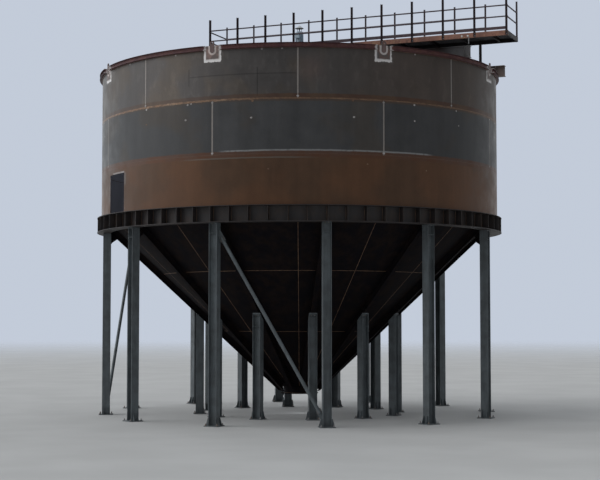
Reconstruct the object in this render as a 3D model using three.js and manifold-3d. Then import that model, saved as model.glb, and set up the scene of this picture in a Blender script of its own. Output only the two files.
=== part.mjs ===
// Elevated steel settling tank: a three-course cylindrical shell on a stiffened ring girder,
// a cone floor on radial beams, two rings of columns, and a walkway bridge with a centre drive.
// Millimetres, +Z up, ground at z = 0. The bridge runs along X and overhangs the +X side.

import * as THREE from 'three';
import { mergeVertices } from 'three/addons/utils/BufferGeometryUtils.js';
import Module from 'manifold-3d';

const wasm = await Module();
wasm.setup();

// Driving dimensions

// Rings have 72 flats. Ring radii are measured to the middle of a flat.
const FLATS = 72;
const GAP = 0.3;

const SHELL_RADIUS = 6400;
const SHELL_PLATE = 10;
const SHELL_BOTTOM = 6250;
const COURSE_HEIGHTS = [1440, 1580, 1580];
const RIM = 10850;
const DOORWAY = { turn: -127.7, wide: 1100, head: 7445 };

const CURB_HEIGHT = 130;
const CURB_WIDTH = 90;
const CURB_PLATE = 10;

const LUG_COUNT = 8;
const DOUBLER = { thick: 14, wide: 400, tall: 385 };
const TONGUE = { thick: 25, wide: 138, below: 215, above: 130, corner: 58, hole: 28, holeUp: 70 };

const GIRDER_RING = { bottom: 5780, inner: 6090, web: 6300, outer: 6535, flange: 16, plate: 12 };
const STIFFENER_STEP = 5;

const CONE_SLOPE = 0.93;
const CONE_PLATE = 16.4;
const CONE_MOUTH = 500;
const BEAM = { deep: 200, wide: 150, flange: 12, web: 10 };
const BEAM_LAP = 3;

const BAYS = 12;
const OUTER_COLUMN = { radius: 6215, top: GIRDER_RING.bottom, side: 250, flange: 14, web: 9, foot: 450 };
const INNER_COLUMN = { radius: 3230, side: 250, flange: 14, web: 9, foot: 400 };
const FOOT_PLATE = 25;
const CAP_PLATE = 20;

const BRACE = { radius: 50, high: 5700, low: 60, gusset: 14, wide: 150 };

const BRIDGE = { near: 6320, far: 6440, offset: 1800, deep: 350, wide: 200, flange: 16, web: 10 };
const WALK = { outer: -3005, inner: -1825, start: -1760, bay: 950, bays: 10, deep: 140, wide: 65 };
const POST = { side: 55, leg: 6, top: 12410 };
const RAIL_RADIUS = 20;
const RAIL_HEIGHTS = [11745, 12070];
const INNER_RAIL_DROP = 50;
const TOE_BOARD = { foot: 30, tall: 85, thick: 6 };
const RIM_POST = { side: 70, tall: 550, turn: -8 };

const DECK = BRIDGE.deep + RIM;
const WALK_TOP = DECK + WALK.deep;
const FLOOR = WALK_TOP - 5;
const WALK_END = WALK.start + WALK.bay * WALK.bays + 35;

// Shared helpers

function toSolid(geometry) {
  const bare = geometry.clone();
  bare.deleteAttribute('normal');
  bare.deleteAttribute('uv');
  const merged = mergeVertices(bare, 1e-3);
  const mesh = new wasm.Mesh({
    numProp: 3,
    vertProperties: new Float32Array(merged.attributes.position.array),
    triVerts: new Uint32Array(merged.index.array),
  });
  return new wasm.Manifold(mesh);
}

function toGeometry(solid) {
  const mesh = solid.getMesh();
  const geometry = new THREE.BufferGeometry();
  geometry.setAttribute('position', new THREE.BufferAttribute(new Float32Array(mesh.vertProperties), 3));
  geometry.setIndex(new THREE.BufferAttribute(new Uint32Array(mesh.triVerts), 1));
  geometry.computeVertexNormals();
  return geometry;
}

function join(pieces) {
  let whole = pieces[0];
  for (const piece of pieces.slice(1)) {
    whole = whole.add(piece);
  }
  return whole;
}

function box(x0, x1, y0, y1, z0, z1) {
  const geometry = new THREE.BoxGeometry(x1 - x0, y1 - y0, z1 - z0);
  geometry.translate((x0 + x1) / 2, (y0 + y1) / 2, (z0 + z1) / 2);
  return geometry;
}

function polar(radius, degrees) {
  const a = THREE.MathUtils.degToRad(degrees);
  return [radius * Math.cos(a), radius * Math.sin(a)];
}

// A ring turned from a closed outline of [radius, height] points, listed counterclockwise.
function ring(outline, flats = FLATS) {
  const half = Math.PI / flats;
  const stretch = 1 / Math.cos(half);
  const points = outline.map(([r, z]) => new THREE.Vector2(r * stretch, z));
  points.push(points[0].clone());
  const geometry = new THREE.LatheGeometry(points, flats, half, 2 * Math.PI);
  geometry.rotateX(Math.PI / 2);
  return geometry;
}

// Everything on one side of a vertical plane through the tank axis.
function halfSpace(degrees, side, clear = GAP / 2) {
  const reach = 20000;
  const geometry = new THREE.BoxGeometry(2 * reach, reach, 2 * reach);
  geometry.translate(0, side * (reach / 2 + clear), 0);
  geometry.rotateZ(THREE.MathUtils.degToRad(degrees));
  return toSolid(geometry);
}

function sector(solid, from, to, clear = GAP / 2) {
  return solid.intersect(halfSpace(from, 1, clear)).intersect(halfSpace(to, -1, clear));
}

// An I-shaped outline, depth along the second axis.
function beamShape(wide, deep, flange, web) {
  const w = wide / 2;
  const d = deep / 2;
  const t = web / 2;
  const shape = new THREE.Shape();
  shape.moveTo(-w, -d);
  shape.lineTo(w, -d);
  shape.lineTo(w, -d + flange);
  shape.lineTo(t, -d + flange);
  shape.lineTo(t, d - flange);
  shape.lineTo(w, d - flange);
  shape.lineTo(w, d);
  shape.lineTo(-w, d);
  shape.lineTo(-w, d - flange);
  shape.lineTo(-t, d - flange);
  shape.lineTo(-t, -d + flange);
  shape.lineTo(-w, -d + flange);
  shape.closePath();
  return shape;
}

// A channel outline with its back on the -side and its flanges toward +side of the first axis.
function channelShape(wide, deep, plate, side) {
  const shape = new THREE.Shape();
  const x = (v) => side * v;
  shape.moveTo(x(0), 0);
  shape.lineTo(x(wide), 0);
  shape.lineTo(x(wide), plate);
  shape.lineTo(x(plate), plate);
  shape.lineTo(x(plate), deep - plate);
  shape.lineTo(x(wide), deep - plate);
  shape.lineTo(x(wide), deep);
  shape.lineTo(x(0), deep);
  shape.closePath();
  return shape;
}

// Runs an outline drawn in (y, z) along X from x0 to x1.
function alongX(shape, x0, x1) {
  const geometry = new THREE.ExtrudeGeometry(shape, { depth: x1 - x0, bevelEnabled: false });
  geometry.rotateY(Math.PI / 2);
  geometry.rotateX(Math.PI / 2);
  geometry.translate(x0, 0, 0);
  return geometry;
}

// Runs an outline drawn in (x, z) along Y from y0 to y1.
function alongY(shape, y0, y1) {
  const geometry = new THREE.ExtrudeGeometry(shape, { depth: y1 - y0, bevelEnabled: false });
  geometry.rotateX(Math.PI / 2);
  geometry.translate(0, y1, 0);
  return geometry;
}

// Materials

function steel(colour, roughness, metalness) {
  return new THREE.MeshStandardMaterial({ color: colour, roughness, metalness });
}

const shellSteel = () => steel(0x5b5954, 0.55, 0.6);
const curbSteel = () => steel(0x4a2f2c, 0.6, 0.3);
const girderSteel = () => steel(0x2b2624, 0.6, 0.4);
const columnSteel = () => steel(0x3b4450, 0.55, 0.3);
const bridgeSteel = () => steel(0x5a3d33, 0.6, 0.3);
const railSteel = () => steel(0x2a2a2c, 0.6, 0.3);
const gratingSteel = () => steel(0x47484a, 0.6, 0.5);
const drivePaint = () => steel(0x6a756c, 0.5, 0.2);

const tank = new THREE.Group();
const frame = new THREE.Group();

// The tank axis stands a little to -X of the origin, which is the middle of the footprint.
frame.position.x = (GIRDER_RING.outer - WALK_END) / 2;
tank.add(frame);

function place(name, geometry, material, parent = frame) {
  const mesh = new THREE.Mesh(geometry, material);
  mesh.name = name;
  parent.add(mesh);
  return mesh;
}

// Shell courses, each rolled in two halves, with the joints staggered from course to course

// Access doorway cut through the bottom course, open down to the ring girder.
function doorway() {
  const half = DOORWAY.wide / 2;
  const geometry = box(SHELL_RADIUS - 200, SHELL_RADIUS + 200, -half, half, SHELL_BOTTOM - 50, DOORWAY.head);
  geometry.rotateZ(THREE.MathUtils.degToRad(DOORWAY.turn));
  return toSolid(geometry);
}

const courseNames = ['bottom', 'middle', 'top'];
let courseFoot = SHELL_BOTTOM;
COURSE_HEIGHTS.forEach((height, i) => {
  const foot = courseFoot + (i === 0 ? 0 : GAP);
  const head = courseFoot + height;
  const inside = SHELL_RADIUS - SHELL_PLATE;
  const wall = toSolid(ring([[inside, foot], [SHELL_RADIUS, foot], [SHELL_RADIUS, head], [inside, head]]));
  const whole = i === 0 ? wall.subtract(doorway()) : wall;
  const joint = i === 1 ? 0 : 22.5;
  place(`shell_${courseNames[i]}_course_back`, toGeometry(sector(whole, joint, joint + 180)), shellSteel());
  place(`shell_${courseNames[i]}_course_front`, toGeometry(sector(whole, joint + 180, joint)), shellSteel());
  courseFoot = head;
});

// Curb channel round the rim, cut away at the eight lifting lugs

function liftingLug() {
  const face = SHELL_RADIUS + GAP;
  const half = DOUBLER.wide / 2;
  const doubler = toSolid(box(face, face + DOUBLER.thick, -half, half, RIM - DOUBLER.tall, RIM));
  const r = TONGUE.wide / 2;
  const c = TONGUE.corner;
  const outline = new THREE.Shape();
  outline.moveTo(-r, TONGUE.above - c);
  outline.lineTo(-r, r - TONGUE.below);
  outline.absarc(0, r - TONGUE.below, r, Math.PI, 2 * Math.PI, false);
  outline.absarc(r - c, TONGUE.above - c, c, 0, Math.PI / 2, false);
  outline.absarc(c - r, TONGUE.above - c, c, Math.PI / 2, Math.PI, false);
  const hole = new THREE.Path();
  hole.absarc(0, TONGUE.holeUp, TONGUE.hole, 0, 2 * Math.PI, false);
  outline.holes.push(hole);
  const plate = new THREE.ExtrudeGeometry(outline, {
    depth: TONGUE.thick,
    bevelEnabled: false,
    curveSegments: 5,
  });
  plate.rotateX(Math.PI / 2);
  plate.rotateZ(Math.PI / 2);
  plate.translate(face + DOUBLER.thick - 4, 0, RIM);
  return doubler.add(toSolid(plate));
}

const curbInside = SHELL_RADIUS + GAP;
const curbFoot = RIM - CURB_HEIGHT;
const curbBack = curbInside + CURB_PLATE;
const curbOutline = [
  [curbInside, curbFoot],
  [curbInside + CURB_WIDTH, curbFoot],
  [curbInside + CURB_WIDTH, curbFoot + CURB_PLATE],
  [curbBack, curbFoot + CURB_PLATE],
  [curbBack, RIM - CURB_PLATE],
  [curbInside + CURB_WIDTH, RIM - CURB_PLATE],
  [curbInside + CURB_WIDTH, RIM],
  [curbInside, RIM],
];
let curb = toSolid(ring(curbOutline));
for (let i = 0; i < LUG_COUNT; i += 1) {
  const turn = (360 / LUG_COUNT) * i;
  const half = DOUBLER.wide / 2 + 12;
  const notch = toSolid(box(curbBack + 1, curbBack + 300, -half, half, RIM - 200, RIM + 50));
  curb = curb.subtract(notch.rotate([0, 0, turn]));
  curb = curb.add(liftingLug().rotate([0, 0, turn]));
}
place('curb_and_lugs_back', toGeometry(sector(curb, 22.5, 202.5)), curbSteel());
place('curb_and_lugs_front', toGeometry(sector(curb, 202.5, 22.5)), curbSteel());

// Ring girder under the shell: an outward channel with a wide bottom flange and radial stiffeners

const gr = GIRDER_RING;
const girderOutline = [
  [gr.inner, gr.bottom],
  [gr.outer, gr.bottom],
  [gr.outer, gr.bottom + gr.flange],
  [gr.web + gr.plate, gr.bottom + gr.flange],
  [gr.web + gr.plate, SHELL_BOTTOM - gr.flange],
  [gr.outer, SHELL_BOTTOM - gr.flange],
  [gr.outer, SHELL_BOTTOM],
  [gr.web, SHELL_BOTTOM],
  [gr.web, gr.bottom + gr.flange],
  [gr.inner, gr.bottom + gr.flange],
];
let girder = toSolid(ring(girderOutline));
for (let turn = 0; turn < 360; turn += STIFFENER_STEP) {
  const low = gr.bottom + gr.flange / 2;
  const high = SHELL_BOTTOM - gr.flange / 2;
  const stiffener = toSolid(box(gr.web + gr.plate / 2, gr.outer - 10, -6, 6, low, high));
  girder = girder.add(stiffener.rotate([0, 0, turn]));
}
place('ring_girder_back', toGeometry(sector(girder, 22.5, 202.5)), girderSteel());
place('ring_girder_front', toGeometry(sector(girder, 202.5, 22.5)), girderSteel());

// Cone floor in four sectors, each with three radial beams on its underside

const coneRim = gr.web - GAP;
const coneFoot = SHELL_BOTTOM - CONE_SLOPE * (coneRim - CONE_MOUTH);
const coneSlant = Math.atan(CONE_SLOPE);
let cone = toSolid(ring([
  [CONE_MOUTH, coneFoot - CONE_PLATE],
  [coneRim, SHELL_BOTTOM - CONE_PLATE],
  [coneRim, SHELL_BOTTOM],
  [CONE_MOUTH, coneFoot],
]));

// One radial beam along X, its top flange against the underside of the plate.
function radialBeam() {
  const outerEnd = OUTER_COLUMN.radius - OUTER_COLUMN.side / 2 - GAP;
  const innerEnd = CONE_MOUTH + 160;
  const length = (coneRim - innerEnd) / Math.cos(coneSlant) + 300;
  const geometry = alongX(beamShape(BEAM.wide, BEAM.deep, BEAM.flange, BEAM.web), 0, length);
  geometry.translate(0, 0, -BEAM.deep / 2 + BEAM_LAP);
  geometry.rotateY(-coneSlant);
  const underside = SHELL_BOTTOM - CONE_PLATE - CONE_SLOPE * (coneRim - innerEnd);
  geometry.translate(innerEnd, 0, underside);
  let beam = toSolid(geometry);
  const room = toSolid(box(innerEnd, outerEnd, -400, 400, 0, SHELL_BOTTOM));
  beam = beam.intersect(room);
  const half = OUTER_COLUMN.side / 2;
  const endPlate = toSolid(box(outerEnd - 25, outerEnd, -half, half, 5450, 5950));
  return beam.add(endPlate);
}

for (let i = 0; i < BAYS; i += 1) {
  cone = cone.add(radialBeam().rotate([0, 0, (360 / BAYS) * i]));
}
['right', 'back', 'left', 'front'].forEach((name, i) => {
  const from = -67.5 + 90 * i;
  place(`cone_floor_${name}`, toGeometry(sector(cone, from, from + 90)), girderSteel());
});

// Underflow outlet at the foot of the cone: a short flanged neck

const neck = ring([
  [CONE_MOUTH - 14, 640],
  [CONE_MOUTH + 110, 640],
  [CONE_MOUTH + 110, 664],
  [CONE_MOUTH - 2, 664],
  [CONE_MOUTH - 2, coneFoot + 30],
  [CONE_MOUTH - 14, coneFoot + 30],
], 36);
place('underflow_outlet', neck, girderSteel());

// Columns: rolled I-sections, flanges facing sideways round the ring, with base and cap plates.
// A rake tilts the head so that it rises outward.

function column(spec, rake) {
  const s = spec.side / 2;
  const f = spec.foot / 2;
  const high = spec.top + spec.side;
  const shaft = new THREE.ExtrudeGeometry(beamShape(spec.side, spec.side, spec.flange, spec.web), {
    depth: high,
    bevelEnabled: false,
  });
  shaft.translate(0, 0, 10);
  const below = new THREE.BoxGeometry(10000, 10000, 10000);
  below.translate(0, 0, -5000);
  below.rotateY(-rake);
  below.translate(0, 0, spec.top);
  const room = toSolid(below);
  const cap = CAP_PLATE / Math.cos(rake);
  return join([
    toSolid(shaft).intersect(room.translate([0, 0, -cap / 2])),
    toSolid(box(-f, f, -f, f, 0, FOOT_PLATE)),
    toSolid(box(-s, s, -s, s, spec.top - spec.side, high)).intersect(room).subtract(room.translate([0, 0, -cap])),
  ]);
}

function columnRing(prefix, spec, rake) {
  const geometry = toGeometry(column(spec, rake));
  for (let i = 0; i < BAYS; i += 1) {
    const turn = (360 / BAYS) * i;
    const number = String(i + 1).padStart(2, '0');
    const mesh = place(`${prefix}_${number}`, geometry.clone(), columnSteel());
    const [x, y] = polar(spec.radius, turn);
    mesh.position.set(x, y, 0);
    mesh.rotation.z = THREE.MathUtils.degToRad(turn);
  }
}

// The inner columns are cut to the slope of the cone and carry the underside of its beams.
const beamDrop = (BEAM.deep - BEAM_LAP + GAP) / Math.cos(coneSlant);
const coneUnderside = SHELL_BOTTOM - CONE_PLATE - CONE_SLOPE * (coneRim - INNER_COLUMN.radius);
columnRing('outer_column', OUTER_COLUMN, 0);
columnRing('inner_column', { ...INNER_COLUMN, top: coneUnderside - beamDrop }, coneSlant);

// Tube braces, one in each quarter, from a column head to the next column's foot

function brace(from) {
  const [x0, y0] = polar(OUTER_COLUMN.radius, from);
  const [x1, y1] = polar(OUTER_COLUMN.radius, from + 360 / BAYS);
  const a = new THREE.Vector3(x0, y0, BRACE.high);
  const b = new THREE.Vector3(x1, y1, BRACE.low);
  const length = a.distanceTo(b);
  const run = new THREE.Vector3().subVectors(b, a).normalize();
  const level = new THREE.Vector3(x1 - x0, y1 - y0, 0).normalize();
  const out = new THREE.Vector3(level.y, -level.x, 0);
  const up = new THREE.Vector3().crossVectors(run, out);
  const lay = new THREE.Matrix4().makeBasis(run, out, up).setPosition(a);
  const tube = new THREE.CylinderGeometry(BRACE.radius, BRACE.radius, length - 760, 16);
  tube.rotateZ(Math.PI / 2);
  tube.translate(length / 2, 0, 0);
  const g = BRACE.gusset / 2;
  const w = BRACE.wide / 2;
  const pieces = [
    tube,
    box(-60, 520, -g, g, -w, w),
    box(length - 520, length + 60, -g, g, -w, w),
  ];
  const whole = join(pieces.map((piece) => toSolid(piece.applyMatrix4(lay))));
  const reach = 9000;
  const foot = FOOT_PLATE + GAP;
  const head = OUTER_COLUMN.top - CAP_PLATE - GAP;
  const room = toSolid(box(-reach, reach, -reach, reach, foot, head));
  return sector(whole.intersect(room), from, from + 360 / BAYS, OUTER_COLUMN.side / 2 + GAP);
}

['front', 'right', 'back', 'left'].forEach((name, i) => {
  place(`brace_${name}`, toGeometry(brace(-90 + 90 * i)), columnSteel());
});

// Bridge girders across the rim

const bridgeShape = beamShape(BRIDGE.wide, BRIDGE.deep, BRIDGE.flange, BRIDGE.web);
[['near', -1], ['far', 1]].forEach(([name, side]) => {
  const geometry = alongX(bridgeShape, -BRIDGE[name], BRIDGE[name]);
  geometry.translate(0, side * BRIDGE.offset, RIM + BRIDGE.deep / 2);
  place(`bridge_girder_${name}`, geometry, bridgeSteel());
});

// Drive platform between the girders

const platformNear = WALK.inner + POST.side + 4;
const platformFar = BRIDGE.offset + 100;
const platformDepth = FLOOR - DECK - 10;
const platformBeam = beamShape(80, platformDepth, 9, 6);
const platform = [toSolid(box(-1200, 1200, platformNear, platformFar, FLOOR - 15, FLOOR))];
for (const x of [-1100, 0, 1100]) {
  const geometry = alongY(platformBeam, platformNear, platformFar);
  geometry.translate(x, 0, DECK + platformDepth / 2);
  platform.push(toSolid(geometry));
}
place('drive_platform', toGeometry(join(platform)), bridgeSteel());

// Walkway frame: two side channels with their backs outward, end channels and cross members

const walkLeft = WALK.start - 15;
const sideOuter = alongX(channelShape(WALK.wide, WALK.deep, 9, 1), walkLeft, WALK_END);
sideOuter.translate(0, WALK.outer, DECK);
const sideInner = alongX(channelShape(WALK.wide, WALK.deep, 9, -1), walkLeft, WALK_END);
sideInner.translate(0, WALK.inner, DECK);
const walkPieces = [toSolid(sideOuter), toSolid(sideInner)];
const between = [WALK.outer + 4, WALK.inner - 4];
walkPieces.push(toSolid(box(walkLeft, walkLeft + 9, ...between, DECK, WALK_TOP)));
walkPieces.push(toSolid(box(WALK_END - 9, WALK_END, ...between, DECK, WALK_TOP)));
for (let i = 0; i < WALK.bays; i += 1) {
  const x = WALK.start + WALK.bay * (i + 0.5);
  walkPieces.push(toSolid(box(x - 25, x + 25, ...between, DECK + 10, FLOOR - 30)));
}
place('walkway_frame', toGeometry(join(walkPieces)), bridgeSteel());

const deckNear = WALK.outer + WALK.wide + 2;
const deckFar = WALK.inner - WALK.wide - 2;
place(
  'walkway_grating',
  box(walkLeft + 12, WALK_END - 12, deckNear, deckFar, FLOOR - 30, FLOOR),
  gratingSteel(),
);

// Handrails: angle posts, two rails and a toe board on each side, with rails across both ends

function angleShape(side, leg) {
  const shape = new THREE.Shape();
  shape.moveTo(0, 0);
  shape.lineTo(side, 0);
  shape.lineTo(side, leg);
  shape.lineTo(leg, leg);
  shape.lineTo(leg, side);
  shape.lineTo(0, side);
  shape.closePath();
  return shape;
}

// A post stands against the back of its side channel, one leg flat on it.
function post(x, back, inward) {
  const geometry = new THREE.ExtrudeGeometry(angleShape(POST.side, POST.leg), {
    depth: POST.top - DECK - 2,
    bevelEnabled: false,
  });
  geometry.rotateZ(inward > 0 ? -Math.PI / 2 : 0);
  geometry.translate(x - POST.side / 2, back - inward * GAP, DECK + 2);
  return toSolid(geometry);
}

function railX(x0, x1, y, z) {
  const geometry = new THREE.CylinderGeometry(RAIL_RADIUS, RAIL_RADIUS, x1 - x0, 8);
  geometry.rotateZ(Math.PI / 2);
  geometry.translate((x0 + x1) / 2, y, z);
  return toSolid(geometry);
}

function railY(y0, y1, x, z) {
  const geometry = new THREE.CylinderGeometry(RAIL_RADIUS, RAIL_RADIUS, y1 - y0, 8);
  geometry.translate(x, (y0 + y1) / 2, z);
  return toSolid(geometry);
}

function handrail(back, inward, railedBays, endX, endTo, drop) {
  const pieces = [];
  for (let i = 0; i <= railedBays; i += 1) {
    pieces.push(post(WALK.start + WALK.bay * i, back, inward));
  }
  const last = WALK.start + WALK.bay * railedBays;
  const line = back + inward * (RAIL_RADIUS - 3);
  for (const height of RAIL_HEIGHTS) {
    const z = height - drop;
    pieces.push(railX(WALK.start - 20, last + 20, line, z));
    pieces.push(railY(Math.min(line, endTo), Math.max(line, endTo), endX, z));
  }
  const face = [back - inward * 2, back + inward * (TOE_BOARD.thick - 2)].sort((a, b) => a - b);
  const foot = WALK_TOP + TOE_BOARD.foot;
  pieces.push(toSolid(box(WALK.start - 20, last + 20, ...face, foot, foot + TOE_BOARD.tall)));
  return join(pieces);
}

// The outer side closes the overhanging end and holds the far corner post. The inner side leaves its last
// bay open and closes the other end. Its rails lie a little lower, so they pass under the outer ones.
const lastX = WALK.start + WALK.bay * WALK.bays;
const cornerPost = post(lastX, WALK.inner, -1);
const outerSide = handrail(WALK.outer, 1, WALK.bays, lastX, WALK.inner + 2, 0).add(cornerPost);
const postFace = WALK.outer + GAP;
const innerSide = handrail(WALK.inner, -1, WALK.bays - 1, WALK.start, postFace, INNER_RAIL_DROP);
place('handrail_outer', toGeometry(outerSide), railSteel());
place('handrail_inner', toGeometry(innerSide), railSteel());

// Short post on the rim beside the bridge

const stubHalf = RIM_POST.side / 2;
const stubShape = box(-stubHalf, stubHalf, -stubHalf, stubHalf, RIM, RIM + RIM_POST.tall);
const stub = place('rim_post', stubShape, bridgeSteel());
const [stubX, stubY] = polar(SHELL_RADIUS + stubHalf, RIM_POST.turn);
stub.position.set(stubX, stubY, 0);
stub.rotation.z = THREE.MathUtils.degToRad(RIM_POST.turn);

// Centre drive: gearbox, vertical motor and rain hat

const gearbox = join([
  toSolid(box(-380, 380, -380, 380, FLOOR, FLOOR + 40)),
  toSolid(ring([[0, FLOOR + 20], [320, FLOOR + 20], [320, 11640], [200, 11760], [0, 11760]], 24)),
]);
place('drive_gearbox', toGeometry(gearbox), drivePaint());
const motor = join([
  toSolid(ring([[0, 11760], [170, 11760], [170, 11785], [135, 11785], [135, 12400], [120, 12490], [0, 12490]], 24)),
  toSolid(box(-70, 70, -205, -100, 12230, 12375)),
]);
place('drive_motor', toGeometry(motor), drivePaint());
const hat = ring([
  [0, 12490],
  [18, 12490],
  [18, 12580],
  [145, 12580],
  [145, 12586],
  [0, 12690],
], 24);
place('rain_hat', hat, drivePaint());

export default tank;
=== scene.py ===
import math
import random
from functools import cached_property

import bmesh
import bpy
from mathutils import Matrix, Vector, noise
from mathutils.geometry import tessellate_polygon


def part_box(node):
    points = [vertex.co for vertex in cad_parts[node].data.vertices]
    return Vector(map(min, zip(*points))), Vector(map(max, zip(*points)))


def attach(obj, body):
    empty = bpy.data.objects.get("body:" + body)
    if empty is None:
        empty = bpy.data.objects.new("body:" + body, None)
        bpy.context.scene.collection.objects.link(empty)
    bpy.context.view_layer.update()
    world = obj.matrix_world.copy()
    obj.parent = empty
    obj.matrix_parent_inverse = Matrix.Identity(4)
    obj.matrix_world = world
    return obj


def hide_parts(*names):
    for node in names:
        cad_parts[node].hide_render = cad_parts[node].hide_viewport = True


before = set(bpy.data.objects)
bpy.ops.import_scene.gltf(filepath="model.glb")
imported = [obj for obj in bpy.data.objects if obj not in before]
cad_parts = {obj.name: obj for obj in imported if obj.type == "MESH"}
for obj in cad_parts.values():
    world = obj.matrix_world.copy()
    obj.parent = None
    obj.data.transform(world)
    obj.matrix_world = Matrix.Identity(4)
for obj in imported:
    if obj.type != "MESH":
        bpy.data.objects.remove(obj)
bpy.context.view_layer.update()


# Sizes read from the frame, in metres. All pieces are drawn round the tank axis.

def span(*nodes):
    boxes = [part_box(node) for node in nodes]
    low = Vector([min(box[0][i] for box in boxes) for i in range(3)])
    high = Vector([max(box[1][i] for box in boxes) for i in range(3)])
    return low, high


shell_low, shell_high = span("shell_middle_course_back", "shell_middle_course_front")
AXIS = Vector(((shell_low.x + shell_high.x) / 2, 0, 0))
SHELL_R = (shell_high.x - shell_low.x) / 2
LOWER_SEAM = shell_low.z
UPPER_SEAM = shell_high.z
SHELL_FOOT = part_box("shell_bottom_course_back")[0].z
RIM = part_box("shell_top_course_back")[1].z
SHELL_DEGREE = math.radians(1) * SHELL_R
SHELL_PLATE = 0.01
DOORWAY = {"turn": 232.3, "wide": 1.1, "head": 7.445}

GIRDER_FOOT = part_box("ring_girder_back")[0].z
GIRDER_OUT = span("ring_girder_back", "ring_girder_front")[1].y
GIRDER_WEB = 6.3
GIRDER_INNER = 6.09
GIRDER_PLATE = 0.012
GIRDER_FLANGE = 0.016

CONE_RIM = GIRDER_WEB - 0.0003
CONE_MOUTH = 0.5
CONE_SLOPE = 0.93
CONE_PLATE = 0.0164
CONE_FOOT = SHELL_FOOT - CONE_SLOPE * (CONE_RIM - CONE_MOUTH)
CONE_OUT = Vector((CONE_SLOPE, 0, -1)).normalized()
BEAM = {"deep": 0.2, "wide": 0.15, "flange": 0.012, "web": 0.01, "lap": 0.003,
        "end_low": 5.45, "end_high": 5.95}

COLUMN_SIDE = 0.25
COLUMN_FLANGE = 0.014
COLUMN_WEB = 0.009
OUTER_COLUMN_R = 6.215
INNER_COLUMN_R = 3.23
OUTER_COLUMN_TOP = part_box("outer_column_01")[1].z
INNER_COLUMN_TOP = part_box("inner_column_01")[1].z - CONE_SLOPE * COLUMN_SIDE / 2
BRACE = {"high": 5.7, "low": 0.06, "half": 0.075, "tube_r": 0.05, "gusset": 0.014}

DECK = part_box("bridge_girder_near")[1].z
GIRDER_DEEP = DECK - RIM
GIRDER_OFFSET = 1.8
walk_low, walk_high = span("walkway_frame")
WALK_OUTER = walk_low.y
WALK_INNER = walk_high.y
WALK_FROM = walk_low.x - AXIS.x
WALK_TO = walk_high.x - AXIS.x
WALK_TOP = walk_high.z
WALK_BAY = 0.95
WALK_BAYS = 10
POSTS = [-1.76 + WALK_BAY * i for i in range(WALK_BAYS + 1)]
POST_SIDE = 0.055
POST_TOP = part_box("handrail_outer")[1].z
RAIL_HEIGHTS = (11.745, 12.07)
INNER_RAIL_DROP = 0.05
RAIL_R = 0.02
RAIL_END = 0.02
TOE_BOARD = {"foot": 0.03, "tall": 0.085}
HANGER = {"x": 6.61, "wide": 0.028, "below": 0.18}

CURB = {"tall": 0.13, "wide": 0.09, "plate": 0.01, "inside": SHELL_R + 0.0003}
DOUBLER = {"wide": 0.4, "tall": 0.385, "thick": 0.014}
TONGUE = {"wide": 0.138, "below": 0.215, "above": 0.13, "thick": 0.025,
          "corner": 0.058, "hole": 0.028, "hole_up": 0.07}

LUG_STEP = 45
PLATE_STEP = 45
BEAM_STEP = 30
STIFFENER_STEP = 5
HALVES = (("back", 22.5), ("front", 202.5))

# Ground spots where the plates' temporary cleats stood, in upright files on a third of the shell
CLEAT_FILES = (-112.0, -97.5, -79.0, -53.5, -36.0, -20.0)
CLEAT_DROPS = (0.06, 0.52)
WELD_END_SPOT = 0.062
RIM_SPOTS = (-119.9, -101.3, -76.7, -71.5, -35.5)
RIM_SPOT_DROP = 0.162
LONE_SPOT = {"turn": -96.3, "drop": 0.05}

UP = Vector((0, 0, 1))
OUT = Vector((1, 0, 0))


def under_cone(radius):
    """The height of the cone's underside."""
    return SHELL_FOOT - CONE_PLATE - CONE_SLOPE * (CONE_RIM - radius)


# Points and places. Angles are degrees round the tank axis.

def evenly(start, end, count):
    """Numbers from start to end in equal steps."""
    return [start + (end - start) * i / count for i in range(count + 1)]


def spaced(start, end, step):
    """Numbers from start to end, about a step apart."""
    return evenly(start, end, max(2, round((end - start) / step)))


def polar(radius, turn, height=0.0):
    turn = math.radians(turn)
    return Vector((radius * math.cos(turn), radius * math.sin(turn), height))


def lay(point, out, along=None):
    """The place of a body whose Z points out of a surface and whose X runs along it."""
    z = Vector(out).normalized()
    x = Vector(along) if along else (UP if abs(z.z) < 0.9 else OUT)
    x = (x - z * x.dot(z)).normalized()
    place = Matrix((x, z.cross(x), z)).transposed().to_4x4()
    place.translation = Vector(point)
    return place


def spin(turn):
    return Matrix.Rotation(math.radians(turn), 4, "Z")


def shift(x, y, z):
    return Matrix.Translation((x, y, z))


ALONG_X = Matrix(((0, 0, 1, 0), (1, 0, 0, 0), (0, 1, 0, 0), (0, 0, 0, 1)))
ALONG_Y = Matrix(((1, 0, 0, 0), (0, 0, 1, 0), (0, 1, 0, 0), (0, 0, 0, 1)))


# Outlines in the flat

def arc(cx, cy, radius, start, end, steps):
    turns = [math.radians(turn) for turn in evenly(start, end, steps)]
    return [(cx + radius * math.cos(t), cy + radius * math.sin(t)) for t in turns]


def circle(cx, cy, radius, sides):
    return arc(cx, cy, radius, 0, 360 - 360 / sides, sides - 1)


def rectangle(x0, x1, y0, y1):
    return [(x0, y0), (x1, y0), (x1, y1), (x0, y1)]


def corner_points(x, y):
    return [(-x, -y), (-x, y), (x, -y), (x, y)]


def beam_outline(wide, deep, flange, web, root):
    """An I-section with root fillets, its depth along the second axis."""
    w, d, t = wide / 2, deep / 2, web / 2
    x, y = t + root, d - flange - root
    fillets = arc(x, -y, root, 270, 180, 4) + arc(x, y, root, 180, 90, 4)
    half = [(w, -d), (w, -d + flange)] + fillets + [(w, d - flange), (w, d)]
    return half + [(-x, -y) for x, y in half]


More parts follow.
